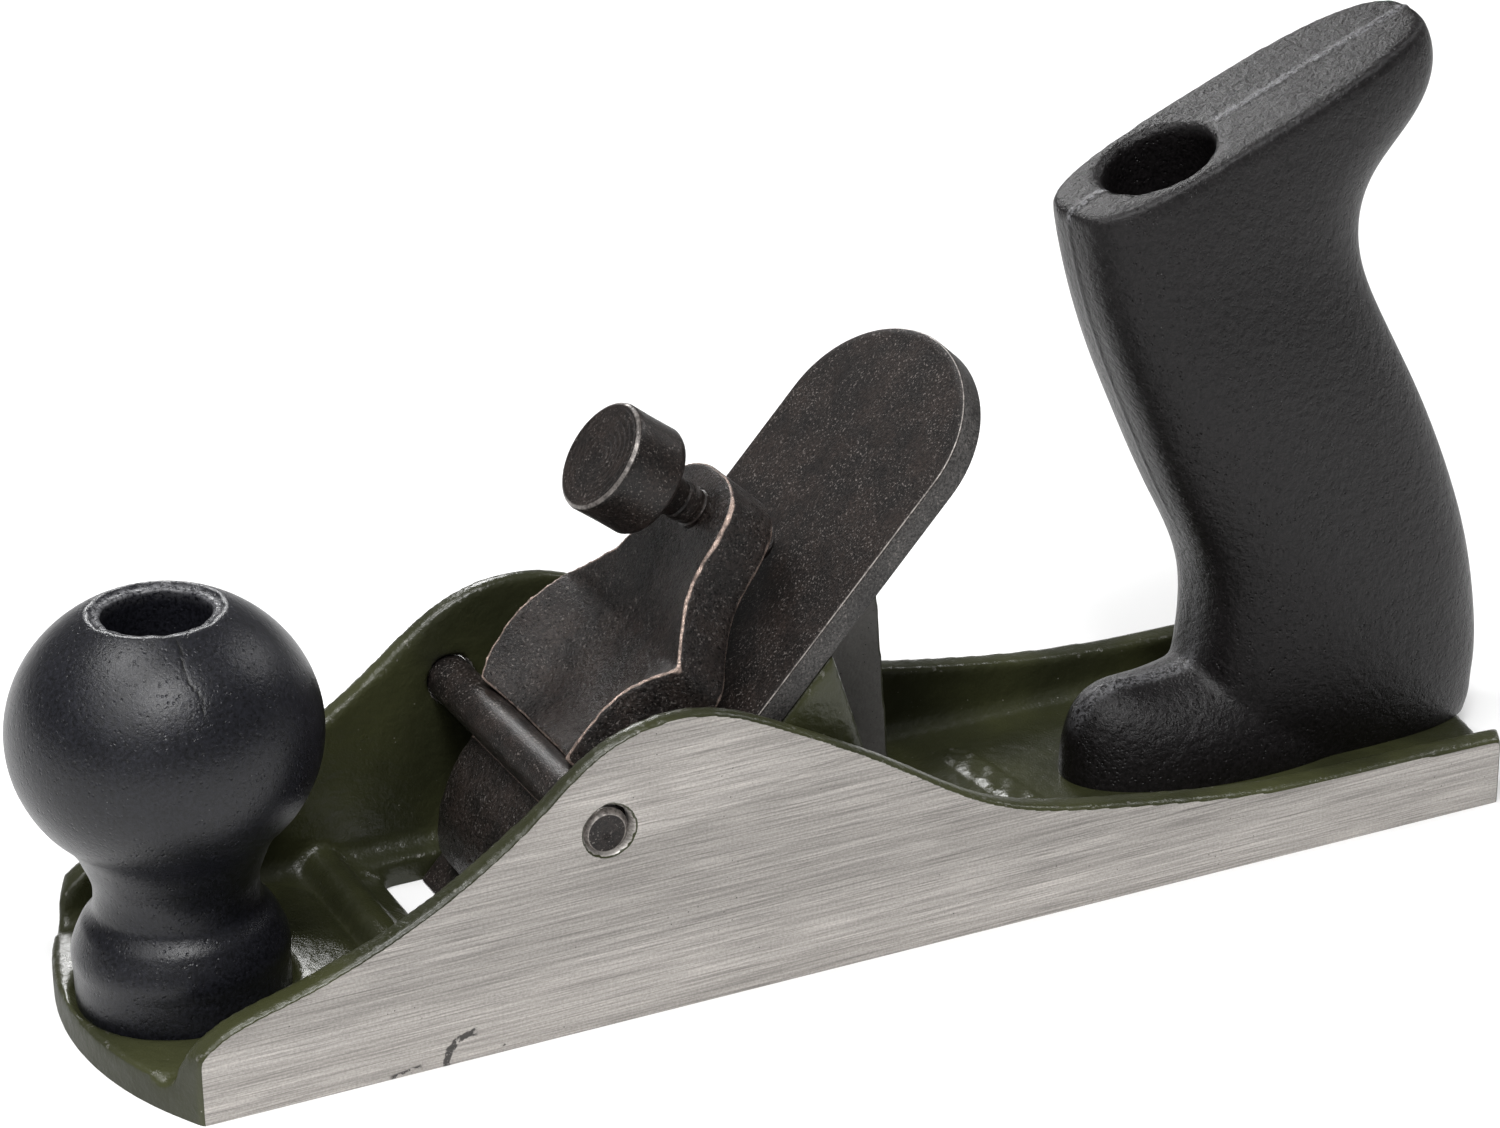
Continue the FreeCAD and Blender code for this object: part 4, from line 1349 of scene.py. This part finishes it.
@dataclass
class ThumbScrew(Part):
    """The screw that tightens the cap: turned head, plain neck and threaded stud."""
    along: float = 69.1
    shoulder_along: float = 50.4
    shoulder_height: float = 13.8
    tilt: float = math.radians(6.0)
    standoff: float = 8.2
    head_radius: float = 8.3
    head_length: float = 9.2
    stud_radius: float = 3.0
    socket: float = 6.7
    pitch: float = 1.0
    ridge: float = 0.26
    tip: float = 1.1
    thread_top: float = 3.4
    rings: int = 22

    @property
    def axis(self) -> np.ndarray:
        """Direction out of the cap."""
        angle = BED.angle + self.tilt
        return np.array([-math.sin(angle), 0.0, math.cos(angle)])

    @property
    def lobe(self) -> np.ndarray:
        """Where the axis leaves the cap."""
        height = self.shoulder_height + (self.along - self.shoulder_along) * math.tan(self.tilt)
        return BED.point(self.along, height)

    def build(self) -> None:
        """Make head, stud and thread."""
        self.head()
        self.thread(self.stud())

    def head(self) -> None:
        """Turned head: rings on its face, a soft rim and a slight waist."""
        radius, length, back = self.head_radius, self.head_length, self.standoff
        face = length + back
        profile = [(3.05, back + 6.9), (3.05, back + 0.5), (3.5, back + 0.05), (radius - 0.9, back),
                   (radius - 0.25, back + 0.18), (radius, back + 0.7)]
        for k in range(1, 12):
            share = k / 12
            profile.append((radius - 0.05 * math.sin(math.pi * share),
                            back + 0.7 + (length - 1.5) * share))
        profile += [(radius, face - 0.75), (radius - 0.16, face - 0.34), (radius - 0.5, face - 0.06),
                    (radius - 0.85, face - 0.04)]
        for k in range(self.rings):
            distance = (radius - 1.05) * (1 - k / self.rings)
            depth = 0.10 + 0.05 * math.sin(k * 2.1) + 0.28 * (k / self.rings) ** 2
            profile.append((distance, face - depth))
        profile.append((0.0, face - 0.42))
        profile.insert(0, (0.0, back + 6.9))
        mesh = lathed(profile, self.lobe, self.axis, 128)
        points = corners(mesh) - self.lobe
        height = points @ self.axis
        distance = np.linalg.norm(points - height[:, None] * self.axis, axis=1)
        rim = step(distance, radius - 0.95, radius - 0.35) * step(height, face - 0.9, face - 0.3)
        store(mesh, "wear", rim)
        shaded(mesh, 50.0)
        fitted("thumb_screw_head", mesh, Rider.HEAD, [self.finishes.screw],
               ("screw_head",))

    def stud(self) -> float:
        """Core of the stud from its rounded tip to inside the head.

        Returns:
            The tip's height along the axis, in millimetres from the cap.
        """
        low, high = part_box("screw_stud")
        centre = np.array([(low[k] + high[k]) / 2 / MM for k in range(3)])
        top = self.standoff + self.socket
        bottom = 2 * float((centre - self.lobe) @ self.axis) - top
        core = self.stud_radius - 0.28
        profile = [(0.0, bottom), (1.5, bottom), (2.1, bottom + 0.35), (core, bottom + self.tip)]
        plain = self.thread_top - bottom - self.tip
        rows = int(plain / 1.5)
        profile += [(core, bottom + self.tip + plain * (k + 1) / rows) for k in range(rows)]
        profile += [(self.stud_radius, self.thread_top + 0.4), (self.stud_radius, top - 0.3),
                    (self.stud_radius - 0.3, top), (0.0, top)]
        mesh = lathed(profile, self.lobe, self.axis, 64)
        store(mesh, "wear", np.full(len(mesh.vertices), 0.1))
        shaded(mesh, 40.0)
        fitted("thumb_screw_stud", mesh, Rider.STUD, [self.finishes.screw],
               ("screw_stud",))
        return bottom

    def thread(self, bottom: float) -> None:
        """Thread wound on the stud by a node tree.

        Args:
            bottom: the height of the stud's tip along the axis, in millimetres.
        """
        tree = bpy.data.node_groups.new("thread", "GeometryNodeTree")
        face = tree.interface
        face.new_socket("Geometry", in_out="OUTPUT", socket_type="NodeSocketGeometry")
        rise = self.thread_top - bottom - self.tip - 0.5
        sizes = {"Radius": (self.stud_radius - self.ridge) * MM, "Turns": rise / self.pitch,
                 "Rise": rise * MM, "Ridge": self.ridge * MM}
        names = {}
        for label, value in sizes.items():
            socket = face.new_socket(label, in_out="INPUT", socket_type="NodeSocketFloat")
            socket.default_value = value
            names[label] = socket.identifier
        made = tree.nodes.new
        start, end = made("NodeGroupInput"), made("NodeGroupOutput")
        helix = made("GeometryNodeCurveSpiral")
        helix.inputs["Resolution"].default_value = 40
        profile = made("GeometryNodeCurvePrimitiveCircle")
        profile.inputs["Resolution"].default_value = 4
        sweep = made("GeometryNodeCurveToMesh")
        sweep.inputs["Fill Caps"].default_value = True
        real = made("GeometryNodeRealizeInstances")
        dress = made("GeometryNodeSetMaterial")
        dress.inputs["Material"].default_value = self.finishes.screw
        join = tree.links.new
        join(start.outputs["Radius"], helix.inputs["Start Radius"])
        join(start.outputs["Radius"], helix.inputs["End Radius"])
        join(start.outputs["Turns"], helix.inputs["Rotations"])
        join(start.outputs["Rise"], helix.inputs["Height"])
        join(start.outputs["Ridge"], profile.inputs["Radius"])
        join(helix.outputs[0], sweep.inputs["Curve"])
        join(profile.outputs[0], sweep.inputs["Profile Curve"])
        join(sweep.outputs[0], real.inputs[0])
        join(real.outputs[0], dress.inputs["Geometry"])
        join(dress.outputs[0], end.inputs[0])
        work = linked("thread_work", bpy.data.meshes.new("thread_work"))
        wind = work.modifiers.new("wind", "NODES")
        wind.node_group = tree
        for label, value in sizes.items():
            wind[names[label]] = value
        work.update_tag()
        bpy.context.view_layer.update()
        mesh = settled(work)
        side = np.array([0.0, 1.0, 0.0])
        turn = np.stack([np.cross(side, self.axis), side, self.axis], axis=1)
        foot = self.lobe + self.axis * (bottom + self.tip)
        place_corners(mesh, corners(mesh) @ turn.T + foot)
        store(mesh, "wear", np.full(len(mesh.vertices), 0.3))
        shaded(mesh, 50.0)
        fitted("thumb_screw_thread", mesh, Rider.STUD, [self.finishes.screw])


@dataclass
class BallKnob(Part):
    """The ball knob, chipped round its hole and cracked beside it."""
    x: float = -96.4
    top: float = 61.8
    hole: float = 7.5
    swell: float = 0.025
    pinch: float = 0.045
    rim_radius: float = 8.7
    crack_turn: float = -95.0

    def chipped(self, points: np.ndarray) -> np.ndarray:
        """Fill the collar, draw in the neck, and chamfer and chip the rim of the hole.

        Args:
            points: points as rows, in millimetres.

        Returns:
            The new points.
        """
        points = points.copy()
        z = points[:, 2]
        collar = self.swell * step(z, 9.0, 12.5) * step(z, 17.2, 15.6)
        neck = self.pinch * step(z, 16.2, 18.4) * step(z, 26.0, 21.0)
        offset = points[:, :2] - np.array([self.x, 0.0])
        distance = np.hypot(offset[:, 0], offset[:, 1])
        swell = np.where(distance > 8.5, 1.0 + collar - neck, 1.0)[:, None]
        points[:, :2] = offset * swell + np.array([self.x, 0.0])
        turn = np.arctan2(offset[:, 1], offset[:, 0])
        ragged = 0.5 + 0.5 * np.sin(3.0 * turn + 1.0) * np.sin(7.0 * turn) + 0.2 * np.sin(17.0 * turn)
        reach = self.rim_radius + 0.35 * ragged
        near = step(points[:, 2], self.top - 3.0, self.top - 0.4)
        near *= step(distance, reach + 0.5, reach - 0.5)
        points[:, 2] -= near * (0.35 + 0.25 * ragged)
        return points

    def rim(self, points: np.ndarray) -> np.ndarray:
        """Where the rim is scuffed pale.

        Args:
            points: points as rows, in millimetres.

        Returns:
            One value from 0 to 1 a point.
        """
        distance = np.hypot(points[:, 0] - self.x, points[:, 1])
        outer = step(distance, 9.0, 8.5) * step(distance, self.hole - 0.1, self.hole + 0.2)
        return step(points[:, 2], 59.5, 60.5) * outer * 0.65

    def crack(self, points: np.ndarray) -> np.ndarray:
        """Hairline crack running down from the hole.

        Args:
            points: points as rows, in millimetres.

        Returns:
            One value from 0 to 1 a point.
        """
        offset = points[:, :2] - np.array([self.x, 0.0])
        turn = np.degrees(np.arctan2(offset[:, 1], offset[:, 0]))
        drop = self.top - points[:, 2]
        bend = self.crack_turn + 5.0 * step(drop, 0.0, 9.0) + 1.3 * np.sin(drop * 1.3)
        side = np.abs(turn - bend) * np.hypot(offset[:, 0], offset[:, 1]) * math.pi / 180
        outside = step(np.hypot(offset[:, 0], offset[:, 1]), self.hole + 0.2, self.hole + 0.6)
        return step(side, 0.36, 0.05) * step(drop, 9.5, 7.0) * outside

    def build(self) -> None:
        """Make the knob."""
        low, high = node_box("front_knob")
        cast = Casting("ball_knob", "front_knob", grain=0.40, rounds=3, low=low, high=high,
                       shape=self.chipped, marks={"scuff_and_sheen": self.rim, "crack": self.crack},
                       wear_rounds=8, wear_reach=0.10, limit=150_000)
        mesh = cast.mesh()
        shaded(mesh, 60.0)
        fitted("ball_knob", mesh, Rider.BODY, [self.finishes.knob], ("front_knob",))


@dataclass
class PistolHandle(Part):
    """The moulded handle with its parting line and scuffed foot, its pale crests partly painted highlight.

    toe holds places along the plane and how far the foot is raised at each.
    """
    floor: float = 4.2
    seam: float = -0.15
    spare: float = 1.5
    foot_top: float = 19.0
    heel: float = 1.2
    toe: tuple[tuple[float, ...], tuple[float, ...]] = (
        (44.8, 48.5, 53.0, 57.0, 60.0, 63.0), (6.4, 5.6, 3.6, 1.6, 0.5, 0.0))

    def grow(self, points: np.ndarray) -> np.ndarray:
        """Lengthen the foot so that cutting it leaves it crisp.

        Args:
            points: points as rows, in millimetres.

        Returns:
            The new points.
        """
        points = points.copy()
        points[points[:, 2] < self.floor + 0.02, 2] -= self.spare
        return points

    def seamed(self, points: np.ndarray) -> np.ndarray:
        """Raise the parting line along the middle.

        Args:
            points: points as rows, in millimetres.

        Returns:
            The new points.
        """
        points = points.copy()
        line = np.exp(-((points[:, 1] - self.seam) / 0.42) ** 2)
        front = step(points[:, 0], 66.0, 60.0)
        points[:, 0] -= 0.16 * line * front * step(points[:, 2], 20.0, 26.0)
        points[:, 2] += 0.14 * line * front * step(points[:, 2], 26.0, 20.0)
        points[:, 2] += 0.22 * line * self.slope(points)
        return points

    def blunt(self, points: np.ndarray) -> np.ndarray:
        """Raise the foot's toe and square the heel, so that both end blunt and round.

        Args:
            points: points as rows, in millimetres.

        Returns:
            The new points.
        """
        points = points.copy()
        low = points[:, 2] < 45.0
        first = points[:, 0].min()
        slot = np.floor(points[:, 0] - first).astype(int)
        tops = np.zeros(slot.max() + 1)
        np.maximum.at(tops, slot[low], points[low, 2])
        crest = np.interp(points[:, 0], first + 0.5 + np.arange(len(tops)), tops)
        crest = np.minimum(crest, self.foot_top)
        part = np.clip((points[:, 2] - self.floor) / np.maximum(crest - self.floor, 1.0), 0.0, 1.0)
        lift = np.interp(points[:, 0], *self.toe)
        points[:, 2] += lift * part * step(points[:, 2], 40.0, 18.0)
        points[:, 0] += self.heel * step(points[:, 2], 11.0, 4.5) * step(points[:, 0], 84.0, 91.0)
        return points

    @staticmethod
    def slope(points: np.ndarray) -> np.ndarray:
        """Which points lie on the sloping top, clear of the hole.

        Args:
            points: points as rows, in millimetres.

        Returns:
            One value from 0 to 1 a point.
        """
        slot = np.floor(points[:, 0] - points[:, 0].min()).astype(int)
        tops = np.full(slot.max() + 1, -1.0)
        np.maximum.at(tops, slot, points[:, 2])
        clear = np.maximum(step(points[:, 0], 67.5, 68.6), step(points[:, 0], 51.0, 49.5))
        return step(tops[slot] - points[:, 2], 2.4, 1.2) * clear * step(points[:, 2], 88.0, 92.0)

    def crest(self, points: np.ndarray) -> np.ndarray:
        """Where the foot's crest and the top's parting line are painted pale: partly rubbing, partly painted
        highlight.

        Args:
            points: points as rows, in millimetres.

        Returns:
            One value from 0 to 1 a point.
        """
        along = step(points[:, 0], 44.0, 48.0) * step(points[:, 0], 69.0, 64.0)
        low = step(points[:, 2], 44.0, 26.0) * step(points[:, 2], 11.0, 14.0)
        foot = 0.5 * along * low * step(np.abs(points[:, 1] + 0.5), 2.4, 0.8)
        sway = 0.5 * np.sin(points[:, 0] * 0.35)
        line = step(np.abs(points[:, 1] - self.seam + sway), 1.0, 0.3)
        return np.maximum(foot, line * self.slope(points))

    @staticmethod
    def whole(points: np.ndarray) -> np.ndarray:
        """No crack anywhere."""
        return np.zeros(len(points))

    def build(self) -> None:
        """Make the handle."""
        low, high = node_box("rear_handle")
        cast = Casting("pistol_handle", "rear_handle", grain=0.50, rounds=20,
                       low=(low[0], low[1], self.floor), high=high, grow=self.grow,
                       mould=self.blunt, shape=self.seamed,
                       marks={"scuff_and_sheen": self.crest, "crack": self.whole},
                       wear_rounds=10, wear_reach=0.16, limit=180_000)
        mesh = cast.mesh()
        shaded(mesh, 60.0)
        fitted("pistol_handle", mesh, Rider.BODY, [self.finishes.handle],
               ("rear_handle",))


@dataclass
class HoldDowns(Part):
    """Washers and screws inside the knob and the handle, dressed as they are."""

    def build(self) -> None:
        """Dress the CAD nodes."""
        for node in ("knob_washer", "knob_bolt", "handle_washer", "handle_bolt"):
            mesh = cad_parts[node].data
            mesh.materials.clear()
            mesh.materials.append(self.finishes.steel)


# --- studio ------------------------------------------------------------------------
@dataclass
class Studio:
    """Pale floor, soft light and the camera."""
    azimuth: float = 0.452465765
    elevation: float = 0.406252024
    roll: float = -0.011274526
    distance: float = 596.787153
    shift: tuple[float, float] = (-7.88405061, 45.0429634)
    lens: float = 96.0
    reach: float = 6.0
    white: Colour = (0.92, 0.92, 0.92)
    sky_power: float = 1.5
    world_power: float = 0.17
    aim: Point = (0.0, 0.0, 0.04)
    lamps: tuple[tuple[str, Point, float, float], ...] = (
        ("overhead", (-0.34, 0.12, 0.78), 0.24, 2.6),
        ("front_left", (-0.20, -0.50, 0.86), 0.24, 5.2),
        ("rear_right", (0.85, 0.15, 0.70), 0.22, 1.8),
        ("behind", (0.16, 0.95, 0.60), 0.26, 4.2),
    )

    def camera(self) -> None:
        """Set the camera."""
        a, e, roll = self.azimuth, self.elevation, self.roll
        back = np.array([-math.sin(a) * math.cos(e), -math.cos(a) * math.cos(e), math.sin(e)])
        right = np.array([math.cos(a), -math.sin(a), 0.0])
        up = np.cross(back, right)
        right, up = (math.cos(roll) * right + math.sin(roll) * up,
                     -math.sin(roll) * right + math.cos(roll) * up)
        eye = back * self.distance + right * self.shift[0] + up * self.shift[1]
        data = bpy.data.cameras.new("camera")
        data.lens = self.lens
        data.sensor_width = 36.0
        data.clip_start = 0.01
        made = linked("camera", data)
        turn = Matrix([list(row) for row in np.stack([right, up, back], axis=1)])
        made.matrix_world = Matrix.Translation(Vector(eye * MM)) @ turn.to_4x4()
        bpy.context.scene.camera = made

    def floor(self) -> None:
        """Lay the floor."""
        mesh = bpy.data.meshes.new("floor")
        reach = self.reach
        mesh.from_pydata([(-reach, -reach, 0), (reach, -reach, 0), (reach, reach, 0),
                          (-reach, reach, 0)], [], [(0, 1, 2, 3)])
        c = Canvas("floor")
        mesh.materials.append(c.finish(Base_Color=self.white, Roughness=0.7))
        floor = linked("floor", mesh)

    def lamp(self, name: str, place: Point, size: float, power: float) -> None:
        """A square soft lamp aimed at the plane.

        Args:
            name: the lamp's name.
            place: where it hangs, in metres.
            size: its side in metres.
            power: its power in watts.
        """
        data = bpy.data.lights.new(name, "AREA")
        data.size = size
        data.energy = power
        made = linked(name, data)
        turn = (Vector(self.aim) - Vector(place)).to_track_quat("-Z", "Y")
        made.matrix_world = Matrix.Translation(Vector(place)) @ turn.to_matrix().to_4x4()

    def sky(self) -> None:
        """Even soft light that keeps the floor pale to the edges."""
        data = bpy.data.lights.new("sky", "SUN")
        data.energy = self.sky_power
        data.angle = math.radians(50.0)
        aim = -Vector((-0.55, -0.45, 1.0))
        linked("sky", data).matrix_world = aim.to_track_quat("-Z", "Y").to_matrix().to_4x4()

    def build(self) -> None:
        """Set up everything round the plane."""
        world = bpy.data.worlds.new("studio")
        world.use_nodes = True
        shade = world.node_tree.nodes["Background"]
        shade.inputs["Color"].default_value = (1.0, 1.0, 1.0, 1.0)
        shade.inputs["Strength"].default_value = self.world_power
        bpy.context.scene.world = world
        bpy.context.scene.view_settings.view_transform = "Standard"
        self.floor()
        self.sky()
        for lamp in self.lamps:
            self.lamp(*lamp)
        self.camera()


def main() -> None:
    """Build the plane and the studio."""
    finishes = Finishes()
    for part in (PlaneBody, CrossRod, Iron, LeverCap, ThumbScrew, BallKnob, PistolHandle, HoldDowns):
        part(finishes).build()
    Studio().build()


if __name__ == "__main__":
    main()
